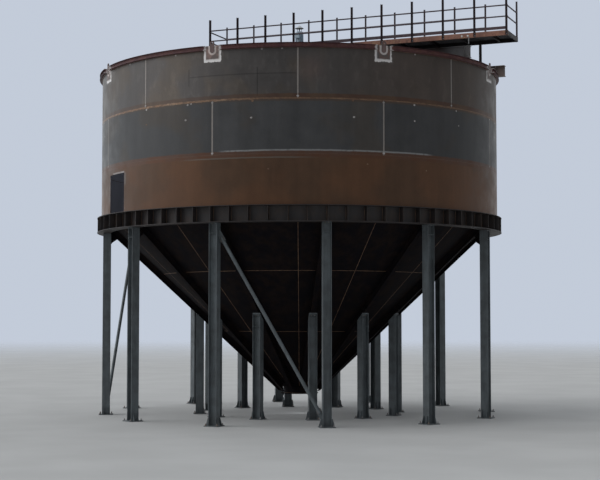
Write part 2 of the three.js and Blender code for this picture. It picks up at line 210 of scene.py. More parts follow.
def channel_outline(wide, deep, thick, root):
    """A channel with its back on x = 0 and its flanges toward +x."""
    x = thick + root
    return (
        [(0, 0), (wide, 0), (wide, thick)]
        + arc(x, x, root, 270, 180, 4)
        + arc(x, deep - x, root, 180, 90, 4)
        + [(wide, deep - thick), (wide, deep), (0, deep)]
    )


def clipped(outline, axis, limit, way):
    """The part of a convex outline above a limit along one axis, or below it where way is -1."""
    kept = []
    for i, here in enumerate(outline):
        last = outline[i - 1]
        a, b = way * (last[axis] - limit), way * (here[axis] - limit)
        if a * b < 0:
            kept.append(last.lerp(here, a / (a - b)))
        if b >= 0:
            kept.append(here)
    return kept


# Closed bodies, each a list of points and a list of faces

def loft(rings, closed=False):
    """A body through rings of points. Its two ends are closed unless the rings meet."""
    size = len(rings[0])
    count = len(rings)
    points = [point for ring in rings for point in ring]
    faces = []
    for i in range(count if closed else count - 1):
        a, b = i * size, (i + 1) % count * size
        for j in range(size):
            k = (j + 1) % size
            faces.append([a + j, a + k, b + k, b + j])
    if not closed:
        faces.append(list(range(size))[::-1])
        faces.append([(count - 1) * size + j for j in range(size)])
    return points, faces


def section(outline, turn, push=None):
    """An outline of (radius, height) points stood at an angle round the axis."""
    return [polar(radius + (push(turn, height) if push else 0), turn, height) for radius, height in outline]


def revolve(outline, start=0.0, end=360.0, step=1.0, push=None):
    """A closed outline of (radius, height) points turned about the tank axis."""
    full = end - start >= 360
    turns = spaced(start, end, step)
    return loft([section(outline, turn, push) for turn in (turns[:-1] if full else turns)], full)


def turned(profile, sides=32):
    """A solid turned about Z from (radius, height) points, flat at both ends."""
    turns = evenly(0, 360, sides)[:-1]
    return loft([[polar(radius, turn, height) for turn in turns] for radius, height in profile])


def prism(outline, low, high):
    return loft([[Vector((x, y, z)) for x, y in outline] for z in (low, high)])


def block(x0, x1, y0, y1, z0, z1, e=0.002):
    """A box with chamfers of size e."""
    def ring(inset, z):
        a, b, c, d = x0 + inset, x1 - inset, y0 + inset, y1 - inset
        corners = [(a + e, c), (b - e, c), (b, c + e), (b, d - e)]
        corners += [(b - e, d), (a + e, d), (a, d - e), (a, c + e)]
        return [Vector((x, y, z)) for x, y in corners]
    return loft([ring(e, z0), ring(0, z0 + e), ring(0, z1 - e), ring(e, z1)])


def plate(outline, thick, holes=()):
    """A flat plate from z = 0 up, with holes through it."""
    loops = [[Vector((x, y, 0)) for x, y in loop] for loop in (outline, *holes)]
    flat = [point for loop in loops for point in loop]
    count = len(flat)
    points = flat + [point + UP * thick for point in flat]
    faces = []
    for a, b, c in tessellate_polygon(loops):
        faces.append([c, b, a])
        faces.append([a + count, b + count, c + count])
    first = 0
    for loop in loops:
        size = len(loop)
        for i in range(size):
            a, b = first + i, first + (i + 1) % size
            faces.append([a, b, b + count, a + count])
        first += size
    return points, faces


def tube(start, end, radius, sides=16):
    """A round bar between two points, with slightly rounded ends."""
    start, end = Vector(start), Vector(end)
    length = (end - start).length
    edge = radius * 0.15
    profile = [(radius - edge, 0), (radius, edge), (radius, length - edge), (radius - edge, length)]
    return move(turned(profile, sides), lay(start, end - start))


def move(body, place):
    points, faces = body
    return [place @ point for point in points], faces


def fin(outline, thick, radius=0.0, height=0.0):
    """A plate that stands upright along a radius, its outline drawn from that place."""
    return move(plate(outline, thick), lay((radius, thick / 2, height), (0, -1, 0), OUT))


BEAD_SUNK = 0.0015
BEAD_SWELL = 0.16


def bead(path, outs, wide, high, seed, closed=False):
    """A weld laid along a path, its size changing a little from ripple to ripple."""
    draw = random.Random(seed)
    count = len(path)
    if isinstance(outs, Vector):
        outs = [outs] * count
    rings = []
    for i, (point, out) in enumerate(zip(path, outs)):
        before = path[i - 1] if closed or i else point
        after = path[(i + 1) % count] if closed or i < count - 1 else point
        side = (after - before).cross(out).normalized()
        swell = 1 + draw.uniform(-BEAD_SWELL, BEAD_SWELL)
        ring = []
        for t in evenly(0, math.pi, 4):
            lift = (high + BEAD_SUNK) * math.sin(t) * swell - BEAD_SUNK
            ring.append(point + side * (wide / 2 * math.cos(t) * swell) + out * lift)
        rings.append(ring)
    return loft(rings, closed)


def bolt(size, stud=0.0):
    """A hexagon head or nut on a washer, with the end of a stud out of it where that is asked for."""
    washer = turned([(size * 1.05, 0), (size * 1.05, size * 0.13), (size * 0.98, size * 0.16)], 16)
    head = turned([(size * 0.92, size * 0.14), (size * 0.92, size * 0.7), (size * 0.8, size * 0.84)], 6)
    if not stud:
        return washer, head
    return washer, head, turned([(size / 2, 0), (size / 2, stud - size * 0.1), (size * 0.4, stud)], 12)


class Shape:
    """The bodies of one piece. Each body keeps the number of its material."""

    def __init__(self):
        self.points = []
        self.faces = []
        self.marks = []

    def add(self, body, mark=0, place=None):
        points, faces = move(body, place) if place else body
        first = len(self.points)
        self.points.extend(points)
        self.faces.extend([first + i for i in face] for face in faces)
        self.marks.extend([mark] * len(faces))

    def bolts(self, places, size, mark, stud=0.0):
        for place in places:
            for body in bolt(size, stud):
                self.add(body, mark, place)


def piece(name, shape, slot, materials, *nodes, sharp=33):
    """Makes the mesh, which rides on the part and stands for its CAD nodes."""
    mesh = bpy.data.meshes.new(name)
    mesh.from_pydata([point + AXIS for point in shape.points], [], shape.faces)
    for material in materials:
        mesh.materials.append(material)
    mesh.polygons.foreach_set("material_index", shape.marks)
    surface = bmesh.new()
    surface.from_mesh(mesh)
    bmesh.ops.recalc_face_normals(surface, faces=surface.faces)
    surface.to_mesh(mesh)
    surface.free()
    mesh.shade_smooth()
    mesh.set_sharp_from_angle(angle=math.radians(sharp))
    thing = bpy.data.objects.new(name, mesh)
    bpy.context.scene.collection.objects.link(thing)
    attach(thing, "root")
    if nodes:
        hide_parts(*nodes)


# Procedural materials

class Value:
    """What a node gives. Sums, differences and products of values are math nodes."""

    def __init__(self, graph, socket):
        self.graph = graph
        self.socket = socket

    def __add__(self, other):
        return self.graph.math("ADD", self, other)

    def __sub__(self, other):
        return self.graph.math("SUBTRACT", self, other)

    def __rsub__(self, other):
        return self.graph.math("SUBTRACT", other, self)

    def __mul__(self, other):
        return self.graph.math("MULTIPLY", self, other)

    __rmul__ = __mul__

    def blend(self, a, b):
        """A number from a to b, as the value goes from 0 to 1."""
        return self * (b - a) + a

    def step(self, low, high):
        """0 below low, 1 above high, and smooth between. With low above high it falls instead."""
        ends = (low, high, 0.0, 1.0) if low < high else (high, low, 1.0, 0.0)
        return self.graph.out("ShaderNodeMapRange", self, *ends, interpolation_type="SMOOTHSTEP")

    def band(self, low, high, soft):
        """1 between low and high and 0 beyond them."""
        return self.step(low - soft, low + soft) * self.step(high + soft, high - soft)


class Nodes:
    """Fills the node tree of a material or a world."""

    def __init__(self, owner):
        owner.use_nodes = True
        self.tree = owner.node_tree
        self.tree.nodes.clear()

    def put(self, socket, value):
        if isinstance(value, Value):
            value = value.socket
        if isinstance(value, bpy.types.NodeSocket):
            self.tree.links.new(value, socket)
        elif isinstance(value, (int, float)):
            socket.default_value = value
        else:
            value = tuple(value)
            socket.default_value = value + (1.0,) * (len(socket.default_value) - len(value))

    def node(self, kind, *values, **settings):
        """A node with those settings, and those values on its open sockets in their order."""
        made = self.tree.nodes.new(kind)
        for key, value in settings.items():
            setattr(made, key, value)
        for socket, value in zip([s for s in made.inputs if s.enabled], values):
            self.put(socket, value)
        return made

    def out(self, kind, *values, **settings):
        made = self.node(kind, *values, **settings)
        return Value(self, next(s for s in made.outputs if s.enabled))

    def math(self, operation, *values):
        return self.out("ShaderNodeMath", *values, operation=operation)


class Graph(Nodes):
    """One material, whose colour is painted on in layers. Its coordinates are metres from the tank axis."""

    def __init__(self, name):
        self.material = bpy.data.materials.new(name)
        super().__init__(self.material)
        self.shader = self.node("ShaderNodeBsdfPrincipled")
        self.output = self.node("ShaderNodeOutputMaterial", self.shader.outputs["BSDF"])
        place = self.node("ShaderNodeTexCoord").outputs["Object"]
        self.place = self.out("ShaderNodeVectorMath", place, AXIS, operation="SUBTRACT")
        parts = self.node("ShaderNodeSeparateXYZ", self.place).outputs
        self.x, self.y, self.z = [Value(self, part) for part in parts]

    @cached_property
    def turn(self):
        """The angle round the tank axis, in degrees."""
        return self.math("DEGREES", self.math("ARCTAN2", self.y, self.x))

    @cached_property
    def radius(self):
        return self.math("SQRT", self.x * self.x + self.y * self.y)

    def noise(self, scale, detail, rough, stretch=(1, 1, 1)):
        place = self.out("ShaderNodeVectorMath", self.place, stretch, operation="MULTIPLY")
        return self.out("ShaderNodeTexNoise", place, scale, detail, rough)

    def mix(self, cover, a, b):
        return self.out("ShaderNodeMix", cover, a, b, data_type="RGBA")

    def scaled(self, colour, amount):
        """A colour made brighter or darker by a number."""
        return self.out("ShaderNodeVectorMath", colour, amount, operation="SCALE")

    def paint(self, cover, colour):
        self.colour = self.mix(cover, self.colour, colour)

    def shade(self, amount):
        self.colour = self.scaled(self.colour, amount)

    def arc_to(self, first, step=45.0):
        """The distance along the shell to the nearest of the lines that repeat round it."""
        return self.math("PINGPONG", self.turn - (first - 360), step / 2) * SHELL_DEGREE

    def arc_past(self, first, step=45.0):
        """The same distance with a sign, more than 0 on the side of the larger angle."""
        return self.math("WRAP", self.turn - first, step / 2, -step / 2) * SHELL_DEGREE

    def finish(self, rough, metal=0.0, bump=None, depth=0.002, specular=0.5):
        sockets = self.shader.inputs
        self.put(sockets["Base Color"], self.colour)
        self.put(sockets["Roughness"], rough)
        self.put(sockets["Metallic"], metal)
        self.put(sockets["Specular IOR Level"], specular)
        if bump is not None:
            made = self.node("ShaderNodeBump")
            for name, value in (("Strength", 1.0), ("Distance", depth), ("Height", bump)):
                self.put(made.inputs[name], value)
            self.put(sockets["Normal"], made.outputs["Normal"])
        return self.material


RUST = (0.2, 0.072, 0.028)
GROUND_STEEL = (0.76, 0.73, 0.72)
# Painted light: a near-white copy of ground steel for the lit front left
GROUND_STEEL_PAINTED_LIGHT = (0.98, 0.94, 0.92)
WELD_STEEL = (0.33, 0.29, 0.265)
# Painted light: the pale blue-grey of the shell's inner face
INNER_PAINTED_LIGHT = (0.26, 0.275, 0.33)
CHALK = (0.29, 0.29, 0.29)


def upper_seam_paint(g, off, ragged, patch, fleck):
    """Rust below the seam and browner rust above it, with a broken weld line, clearest on the left."""
    above = g.mix(patch.step(0.38, 0.58), (0.112, 0.062, 0.036), (0.092, 0.046, 0.03))
    border = g.mix(off.step(-0.03, 0.03), (0.088, 0.062, 0.048), above)
    bright = g.arc_to(-115, 360).step(5.4, 2.4)
    g.paint(ragged.band(-0.075, 0.135, 0.02) * bright.blend(0.85, 0.5), border)
    thin = patch.step(0.36, 0.6)
    dull_line = g.mix(thin, (0.142, 0.08, 0.05), (0.205, 0.122, 0.076))
    clear_line = g.mix(thin, (0.3, 0.175, 0.105), (0.39, 0.262, 0.175))
    strong = fleck.step(0.34, 0.6).blend(0.4, 0.95)
    g.paint(ragged.band(-0.024, 0.024, 0.01) * strong, g.mix(bright, dull_line, clear_line))


def lower_seam_paint(g, off, ragged, patch, fleck):
    """A darker band with a faint weld line, and chalk lines above it in front and below it at the left."""
    border = g.mix(patch.step(0.4, 0.6), (0.112, 0.048, 0.026), (0.108, 0.056, 0.038))
    g.paint(ragged.band(-0.095, 0.095, 0.018) * 0.85, border)
    strong = fleck.step(0.34, 0.6).blend(0.2, 0.55)
    g.paint(ragged.band(-0.02, 0.02, 0.012) * strong, (0.124, 0.066, 0.042))
    front = g.arc_to(-59, 120).step(3.35, 2.95)
    broken = fleck.step(0.3, 0.5).blend(0.4, 0.85)
    g.paint(off.band(0.084, 0.128, 0.012) * broken * front, CHALK)
    left = g.arc_to(-81, 120).step(2.3, 1.2)
    g.paint(off.band(-0.116, -0.08, 0.01) * left * 0.7, (0.15, 0.132, 0.112))


def seam_paint(g, height):
    off = g.z - height + g.noise(3.5, 4, 0.6).blend(-0.014, 0.014)
    ragged = off + g.noise(13, 4, 0.65).blend(-0.026, 0.026)
    paint = upper_seam_paint if height == UPPER_SEAM else lower_seam_paint
    paint(g, off, ragged, g.noise(1.7, 4, 0.6), g.noise(9, 4, 0.65))


def scribe_marks(g):
    """Fine dark lines left by the marking out: two upright ones, and a level one between two welds."""
    broken = g.noise(2.2, 3, 0.5).step(0.34, 0.46)
    above = g.z - UPPER_SEAM
    for turn, low, high, shade in ((-97.0, 0.46, 0.95, 0.64), (-77.85, 0.06, 0.9, 0.56)):
        line = g.arc_to(turn, 360).band(-0.02, 0.015, 0.006) * above.band(low, high, 0.02)
        g.paint(line * broken, g.scaled(g.colour, shade))
    level = above.band(0.697, 0.733, 0.006) * g.arc_to(-82.3, 360).step(1.68, 1.56)
    g.paint(level * broken, g.scaled(g.colour, 0.7))


def painted_light_side(g):
    """1 on the front left of the shell, the side the light comes from, where painted light makes ground
    steel, lug plates and welds paler, and 0 beyond it.
    """
    return g.arc_to(-100, 360).step(5.2, 3.2)


def lug_border(g):
    """A haze round each plate under a lug, and ground steel over it. Gives what the steel covers."""
    beside = g.arc_to(0) - DOUBLER["wide"] / 2
    below = RIM - DOUBLER["tall"] - g.z
    away = g.math("MAXIMUM", beside * 1.35, below * 1.15)
    haze = away + g.noise(5, 4, 0.6).blend(0.1, -0.16)
    g.paint(haze.step(0.16, -0.02) * 0.26, (0.22, 0.215, 0.215))
    cover = (away + g.noise(8, 5, 0.65).blend(0.08, -0.08)).step(0.108, 0.086)
    # Painted light: the ground steel is drawn near white on the lit front left
    g.paint(cover * 0.95, g.mix(painted_light_side(g), GROUND_STEEL, GROUND_STEEL_PAINTED_LIGHT))
    return cover


def plate_welds(g, first_plate):
    """Upright welds between plates: a pale line with a darker edge."""
    off = g.arc_past(first_plate) + g.noise(11, 3, 0.5).blend(-0.006, 0.006)
    g.paint(off.band(-0.05, 0.062, 0.014) * 0.2, (0.038, 0.038, 0.042))
    fade = g.noise(1.3, 3, 0.5).step(0.34, 0.52).blend(0.55, 0.8)
    g.paint(off.band(-0.023, 0.023, 0.006) * fade, WELD_STEEL)


def doorway_edges(g):
    """Ground steel over the doorway's head and down the upper part of one jamb."""
    across = g.arc_past(DOORWAY["turn"] - 360, 360.0)
    over = g.z - DOORWAY["head"] + g.noise(12, 3, 0.6).blend(-0.012, 0.012)
    lintel = across.band(-0.27, 0.555, 0.012) * over.band(-0.02, 0.048, 0.01)
    g.paint(lintel * across.step(0.15, 0.5).blend(0.7, 0.95), (0.34, 0.31, 0.3))
    g.paint(across.band(0.5, 0.66, 0.015) * over.band(-0.36, 0.0, 0.03) * 0.65, (0.15, 0.132, 0.124))


def shell_steel(name, base, warm, warm_share, seams, first_plate, lugs=False, doorway=False):
    """Rolled plate with mill scale: plates of slightly different tone, faint streaks and rusty seams."""
    g = Graph(name)
    blotch = g.noise(2.3, 5, 0.6)
    grain = g.noise(55, 4, 0.7)
    number = g.math("FLOOR", g.math("DIVIDE", g.turn - (first_plate - 360), PLATE_STEP))
    seed = len(seams) * 3.7 + seams[0]
    tone = g.out("ShaderNodeTexWhiteNoise", number + seed, noise_dimensions="1D")
    light = tone.blend(0.9, 1.08) + blotch.blend(-0.27, 0.27)
    light *= g.noise(2.2, 5, 0.62, (1, 1, 0.13)).step(0.32, 0.7).blend(0.92, 1.09)
    light *= grain.step(0.3, 0.75).blend(0.94, 1.07)
    g.colour = g.mix(g.noise(0.55, 3, 0.5).step(0.5 - warm_share, 0.62 - warm_share * 0.5), base, warm)
    if lugs:
        # Warmer and paler stretches that the photograph shows on the top course
        g.paint(g.turn.band(-52, 40, 14) * 0.8, (0.0875, 0.0675, 0.057))
        # Painted light: from -122 to -82 degrees, the side the light comes from, the top course is drawn up
        # to 22% paler
        light *= g.turn.band(-122, -82, 10).blend(1.0, 1.22)
        light *= g.noise(4.2, 4, 0.6, (1, 1, 0.55)).step(0.54, 0.66).blend(1.0, 1.16)
        warm_patch = g.turn.band(-67, -61, 3) * g.z.band(UPPER_SEAM + 0.55, UPPER_SEAM + 1.2, 0.2)
        g.paint(warm_patch * 0.6, (0.118, 0.088, 0.08))
    g.shade(light)
    g.paint(g.noise(26, 5, 0.65).step(0.6, 0.72) * blotch.step(0.48, 0.66) * 0.35, RUST)
    if lugs:
        scribe_marks(g)
    if not doorway:
        plate_welds(g, first_plate)
    for height in seams:
        seam_paint(g, height)
    if doorway:
        doorway_edges(g)
    metal = lug_border(g).blend(0.55, 0.0) if lugs else 0.55

    # The inside is paler and duller, on scale: its pale blue-grey is painted light, for the sky light on the
    # inner face
    inner = g.radius.step(SHELL_R - SHELL_PLATE + 0.004, SHELL_R - SHELL_PLATE + 0.002)
    g.paint(inner * 0.9, g.scaled(INNER_PAINTED_LIGHT, light))
    rough = blotch.step(0.3, 0.7).blend(0.38, 0.52)
    return g.finish(rough, inner.blend(1.0, 0.15) * metal, grain * 0.35 + blotch * 0.65, 0.0012)


def curb_primer(name):
    """Red-brown primer with painted shade on the flanges, drawn darker than the paler web, ground off beside
    the lugs.
    """
    g = Graph(name)
    blotch = g.noise(4, 5, 0.6)
    web = g.mix(blotch.step(0.4, 0.62), (0.172, 0.066, 0.06), (0.116, 0.042, 0.046))
    flange = g.mix(blotch.step(0.38, 0.6), (0.086, 0.026, 0.034), (0.062, 0.022, 0.029))
    # Painted shade: the flanges are drawn darker than the web
    g.colour = g.mix(g.radius.step(CURB["inside"] + 0.014, CURB["inside"] + 0.03), web, flange)
    rusty = g.noise(11, 6, 0.68) + g.turn.band(-60, 30, 12) * 0.06
    g.paint(rusty.step(0.58, 0.68) * 0.65, (0.15, 0.068, 0.034))
    beside = g.arc_to(0) - DOUBLER["wide"] / 2 + g.noise(9, 4, 0.6).blend(0.04, -0.04)
    g.paint(beside.step(0.08, 0.062) * 0.75, GROUND_STEEL)
    return g.finish(blotch.blend(0.45, 0.65), 0.1, blotch, 0.0008)


def lug_plate(name):
    """The plate under a lug: scale and rust, ground bright round the tongue's weld."""
    g = Graph(name)
    half = TONGUE["wide"] / 2
    beside = g.arc_to(0)
    below = g.math("MAXIMUM", RIM - TONGUE["below"] + half - g.z, 0.0)
    reach = g.math("SQRT", beside * beside + below * below)
    away = reach - half + g.noise(14, 4, 0.6).blend(-0.024, 0.024)
    spots = g.noise(5, 5, 0.6).step(0.42, 0.6)
    dull = g.mix(spots, (0.1, 0.092, 0.088), (0.15, 0.092, 0.078))
    painted_lit_plate = g.mix(spots, (0.16, 0.125, 0.115), (0.29, 0.195, 0.17))
    painted_light_share = painted_light_side(g)
    # Painted light: the plate is drawn paler on the lit front left
    g.colour = g.mix(painted_light_share, dull, painted_lit_plate)
    g.paint(away.step(0.07, 0.046) * 0.88, g.mix(painted_light_share, (0.64, 0.58, 0.56), (0.66, 0.56, 0.52)))
    return g.finish(0.5, 0.2, g.noise(60, 3, 0.6), 0.0005)


def lug_weld(name):
    """Welds round the lugs and their plates, ground bright."""
    g = Graph(name)
    spots = g.noise(7, 4, 0.6).step(0.38, 0.62)
    dull = g.mix(spots, (0.6, 0.57, 0.56), (0.4, 0.38, 0.37))
    bright = g.mix(spots, (0.82, 0.77, 0.75), (0.6, 0.55, 0.53))
    # Painted light: the welds are drawn brighter on the lit front left
    g.colour = g.mix(painted_light_side(g), dull, bright)
    return g.finish(0.5, 0.15, g.noise(120, 3, 0.6), 0.0006)


def run_off(g, stretch):
    """Light and dark streaks down a surface."""
    return g.noise(7.0, 4, 0.6, (1, 1, stretch)).step(0.3, 0.7).blend(0.84, 1.16)


def coated_steel(name, base, worn, rust_share, streaks=0.13, specular=0.5):
    """Steel with primer or tight scale: soft tone changes, run-off streaks, freckles of rust."""
    g = Graph(name)
    blotch = g.noise(3.1, 5, 0.6)
    grain = g.noise(80, 4, 0.7)
    g.colour = g.mix(blotch.step(0.38, 0.66), base, worn)
    g.shade(run_off(g, streaks) * grain.step(0.3, 0.7).blend(0.9, 1.1))
    rust = g.noise(17, 6, 0.68).step(0.72 - 0.25 * rust_share, 0.8 - 0.25 * rust_share)
    g.paint(rust * (rust_share + 0.25), RUST)
    return g.finish(blotch.blend(0.45, 0.65), 0.1, grain * 0.4 + blotch * 0.6, 0.0008, specular)


def cone_scale_and_shade(name):
    """Painted shade under the cone and on its beams, drawn almost black over the scale, and plain brown scale
    on the inside of the cone.
    """
    g = Graph(name)
    blotch = g.noise(3.1, 5, 0.6)
    # Painted shade: the underside colour is almost black
    under = g.mix(blotch.step(0.38, 0.66), (0.006, 0.005, 0.007), (0.014, 0.009, 0.008))
    inside = g.mix(blotch.step(0.38, 0.62), (0.135, 0.1, 0.085), (0.105, 0.088, 0.082))
    above = (g.z - under_cone(g.radius)).step(0.55 * CONE_PLATE, 0.75 * CONE_PLATE)
    g.colour = g.mix(above, under, inside)
    g.shade(run_off(g, 0.13))
    return g.finish(blotch.blend(0.6, 0.8), 0.0, blotch, 0.0008, specular=0.08)


def walkway_primer(name):
    """Patchy primer on a side channel: orange, brown and yellowish, with a pale pink painted highlight along
    the top edge.
    """
    g = Graph(name)
    small = g.noise(6.5, 5, 0.65)
    g.colour = g.mix(g.noise(1.6, 4, 0.6).step(0.4, 0.58), (0.34, 0.158, 0.106), (0.222, 0.103, 0.075))
    g.paint(small.step(0.55, 0.64) * 0.75, (0.385, 0.222, 0.13))
    g.paint(small.step(0.42, 0.34) * 0.7, (0.12, 0.056, 0.042))
    g.paint(g.noise(17, 6, 0.68).step(0.6, 0.68) * 0.6, (0.26, 0.1, 0.04))
    # Painted highlight: a pale pink line along the top edge
    edge = g.z.step(WALK_TOP - 0.016, WALK_TOP - 0.008)
    g.paint(edge * small.blend(0.3, 1.0), (0.56, 0.42, 0.4))
    return g.finish(small.blend(0.45, 0.65), 0.1, small, 0.0008)


def girder_scale_and_shade(name):
    """Dark scale with painted shade and light: the near bridge girder is drawn darker and the far one paler,
    and the near one's overhanging end is painted plain grey as light.
    """
    g = Graph(name)
    blotch = g.noise(3.1, 5, 0.6)
    grain = g.noise(80, 4, 0.7)
    # Painted shade on the near girder and painted light on the far one
    far = g.y.step(-0.1, 0.1)
    g.colour = g.mix(blotch.step(0.38, 0.66), (0.104, 0.086, 0.08), (0.128, 0.09, 0.076))
    g.shade(far.blend(0.62, 1.38))
    # Painted light: the near girder's overhanging end is drawn plain grey
    end = (g.x + blotch.blend(-0.25, 0.25)).step(5.35, 5.85)
    grey = g.mix(blotch.step(0.4, 0.6), (0.235, 0.228, 0.232), (0.2, 0.19, 0.19))
    g.paint(end * far.blend(1.0, 0.0), grey)
    g.shade(grain.step(0.3, 0.7).blend(0.9, 1.1))
    return g.finish(blotch.blend(0.45, 0.65), 0.1, grain, 0.0006)


def weld_metal(name, base, spot):
    """Welds, and bolts and washers with the same fine spots."""
    g = Graph(name)
    fine = g.noise(120, 3, 0.6)
    g.colour = g.mix(g.noise(7, 4, 0.6).step(0.38, 0.62), base, spot)
    g.shade(fine.step(0.3, 0.7).blend(0.8, 1.2))
    return g.finish(0.5, 0.3, fine, 0.0006)


def drive_finish(name, base):
    """Paint or sheet with dust and small chips."""
    g = Graph(name)
    dust = g.noise(5, 5, 0.6)
    g.colour = g.mix(dust.step(0.4, 0.75), base, [c * 0.72 for c in base])
    g.paint(g.noise(38, 5, 0.7).step(0.68, 0.73) * 0.7, (0.1, 0.085, 0.075))
    return g.finish(dust.blend(0.32, 0.52), 0.0, g.noise(160, 2, 0.5), 0.0003)


def checker_steel(name, base):
    """Raised lozenges on a floor plate, in two crossed rows."""
    g = Graph(name)
    half = 0.018
    bars = []
    for sign, phase in ((1, 50), (-1, 50 + half)):
        across = g.math("PINGPONG", g.x + g.y * sign + phase, half)
        along = g.math("PINGPONG", g.x - g.y * sign + 50, half)
        bars.append(across.step(0.004, 0.002) * along.step(0.013, 0.01))
    raised = g.math("MAXIMUM", *bars)
    wear = g.noise(6, 5, 0.6)
    g.colour = g.mix(wear.step(0.4, 0.7), base, RUST)
    g.paint(raised * 0.5, (0.22, 0.21, 0.2))
    return g.finish(wear.blend(0.42, 0.62), 0.4, raised, 0.0015)


top_steel = shell_steel("top_course_plate", (0.086, 0.078, 0.075), (0.1, 0.083, 0.07), 0.02,
                        [UPPER_SEAM], 22.5, lugs=True)
middle_steel = shell_steel("middle_course_plate", (0.067, 0.067, 0.069), (0.073, 0.065, 0.059), 0.0,
                           [LOWER_SEAM, UPPER_SEAM], 0)
bottom_steel = shell_steel("bottom_course_plate", (0.1, 0.053, 0.03), (0.125, 0.06, 0.031), 0.1,
                           [LOWER_SEAM], 22.5, doorway=True)
curb_steel = curb_primer("curb_primer")
lug_steel = lug_plate("lug_plate")
tongue_steel = coated_steel("lug_tongue", (0.165, 0.11, 0.104), (0.125, 0.084, 0.078), 0.3)
girder_steel = coated_steel("ring_girder_steel", (0.03, 0.026, 0.027), (0.044, 0.032, 0.028), 0.25)
cone_steel = cone_scale_and_shade("cone_plate")
column_steel = coated_steel("column_primer", (0.128, 0.148, 0.16), (0.1, 0.113, 0.12), 0.1)
bridge_steel = coated_steel("bridge_scale", (0.11, 0.088, 0.08), (0.14, 0.088, 0.07), 0.25, streaks=1.0)
walkway_steel = walkway_primer("walkway_primer")
beam_steel = girder_scale_and_shade("girder_scale_and_shade")
# Painted shade: near-black steel for the walkway's parts in deep shade, its inner channel, one end channel
# and the cross members; the curb post uses it too
under_steel = coated_steel("walkway_underside", (0.01, 0.009, 0.011), (0.016, 0.012, 0.012), 0.12,
                           streaks=1.0, specular=0.15)
rail_steel = coated_steel("handrail_steel", (0.078, 0.056, 0.071), (0.082, 0.056, 0.064), 0.15)
post_steel = coated_steel("handrail_posts", (0.034, 0.019, 0.026), (0.04, 0.023, 0.026), 0.2)
toe_steel = coated_steel("toe_board_primer", (0.082, 0.048, 0.056), (0.068, 0.046, 0.054), 0.2, streaks=1.0)
grating_steel = coated_steel("grating_bars", (0.03, 0.029, 0.032), (0.022, 0.02, 0.021), 0.12,
                             specular=0.25)
end_steel = coated_steel("walkway_ends", (0.06, 0.055, 0.058), (0.046, 0.04, 0.04), 0.15, streaks=1.0)
floor_steel = checker_steel("platform_floor", (0.085, 0.08, 0.078))
bolt_steel = weld_metal("bolts", (0.3, 0.3, 0.31), (0.2, 0.15, 0.12))
rusty_weld = weld_metal("seam_welds", (0.22, 0.135, 0.08), (0.13, 0.07, 0.045))
dull_weld = weld_metal("lower_seam_welds", (0.125, 0.065, 0.042), (0.095, 0.048, 0.03))
plate_weld = weld_metal("plate_welds", (0.32, 0.3, 0.285), (0.24, 0.22, 0.21))
lug_bead = lug_weld("lug_welds")
ground_weld = weld_metal("ground_welds", (0.46, 0.43, 0.42), (0.3, 0.28, 0.27))
bright_steel = weld_metal("zinc_washers", (0.8, 0.78, 0.75), (0.62, 0.6, 0.58))
hanger_steel = weld_metal("bare_strip", (0.24, 0.245, 0.25), (0.18, 0.18, 0.19))
drive_paint = drive_finish("drive_enamel", (0.44, 0.56, 0.66))
lid_paint = drive_finish("terminal_lid", (0.55, 0.66, 0.73))
hat_steel = drive_finish("bright_sheet", (0.72, 0.75, 0.78))
hat_shade = drive_finish("sheet_underside", (0.03, 0.034, 0.045))


# The shell: rolled plates that are not perfectly round, in three courses

def dent(turn, height):
    """How far the plate lies inside the true circle, in broad waves."""
    return -0.0022 * (1 + noise.noise(polar(SHELL_R * 0.55, turn, height * 0.8)))


def wall_outline(low, high):
    edge, inner = 0.0015, SHELL_R - SHELL_PLATE
    rows = evenly(low + edge, high - edge, 9)
    outside = [(SHELL_R - edge, low)] + [(SHELL_R, z) for z in rows] + [(SHELL_R - edge, high)]
    return outside + [(inner, high)] + [(inner, z) for z in reversed(rows)] + [(inner, low)]


def ring_bead(radius, height, start, end, wide, high, seed, inward=False):
    turns = spaced(start, end, 0.25)
    path = [polar(radius + dent(turn, height), turn, height) for turn in turns]
    return bead(path, [polar(-1 if inward else 1, turn) for turn in turns], wide, high, seed)


def upright_bead(turn, low, high, inward):
    radius = SHELL_R - (SHELL_PLATE if inward else 0)
    path = [polar(radius + dent(turn, z), turn, z) for z in spaced(low, high, 0.03)]
    return bead(path, polar(-1 if inward else 1, turn), 0.016, 0.0022, turn + low)


def doorway_course(low, high, start):
    """The half course with the doorway. Between the jambs its section starts at the doorway's head."""
    half = math.degrees(math.asin(DOORWAY["wide"] / 2 / SHELL_R))
    first, last, head = DOORWAY["turn"] - half, DOORWAY["turn"] + half, DOORWAY["head"]
    nip = 0.01
    turns = [start + i for i in range(181)]
    stops = [(t, low) for t in turns if not first - nip < t < last + nip]
    stops += [(t, head) for t in turns if first + nip < t < last - nip]
    stops += [(first - nip, low), (first + nip, head), (last - nip, head), (last + nip, low)]
    return loft([section(wall_outline(foot, high), turn, dent) for turn, foot in sorted(stops)])


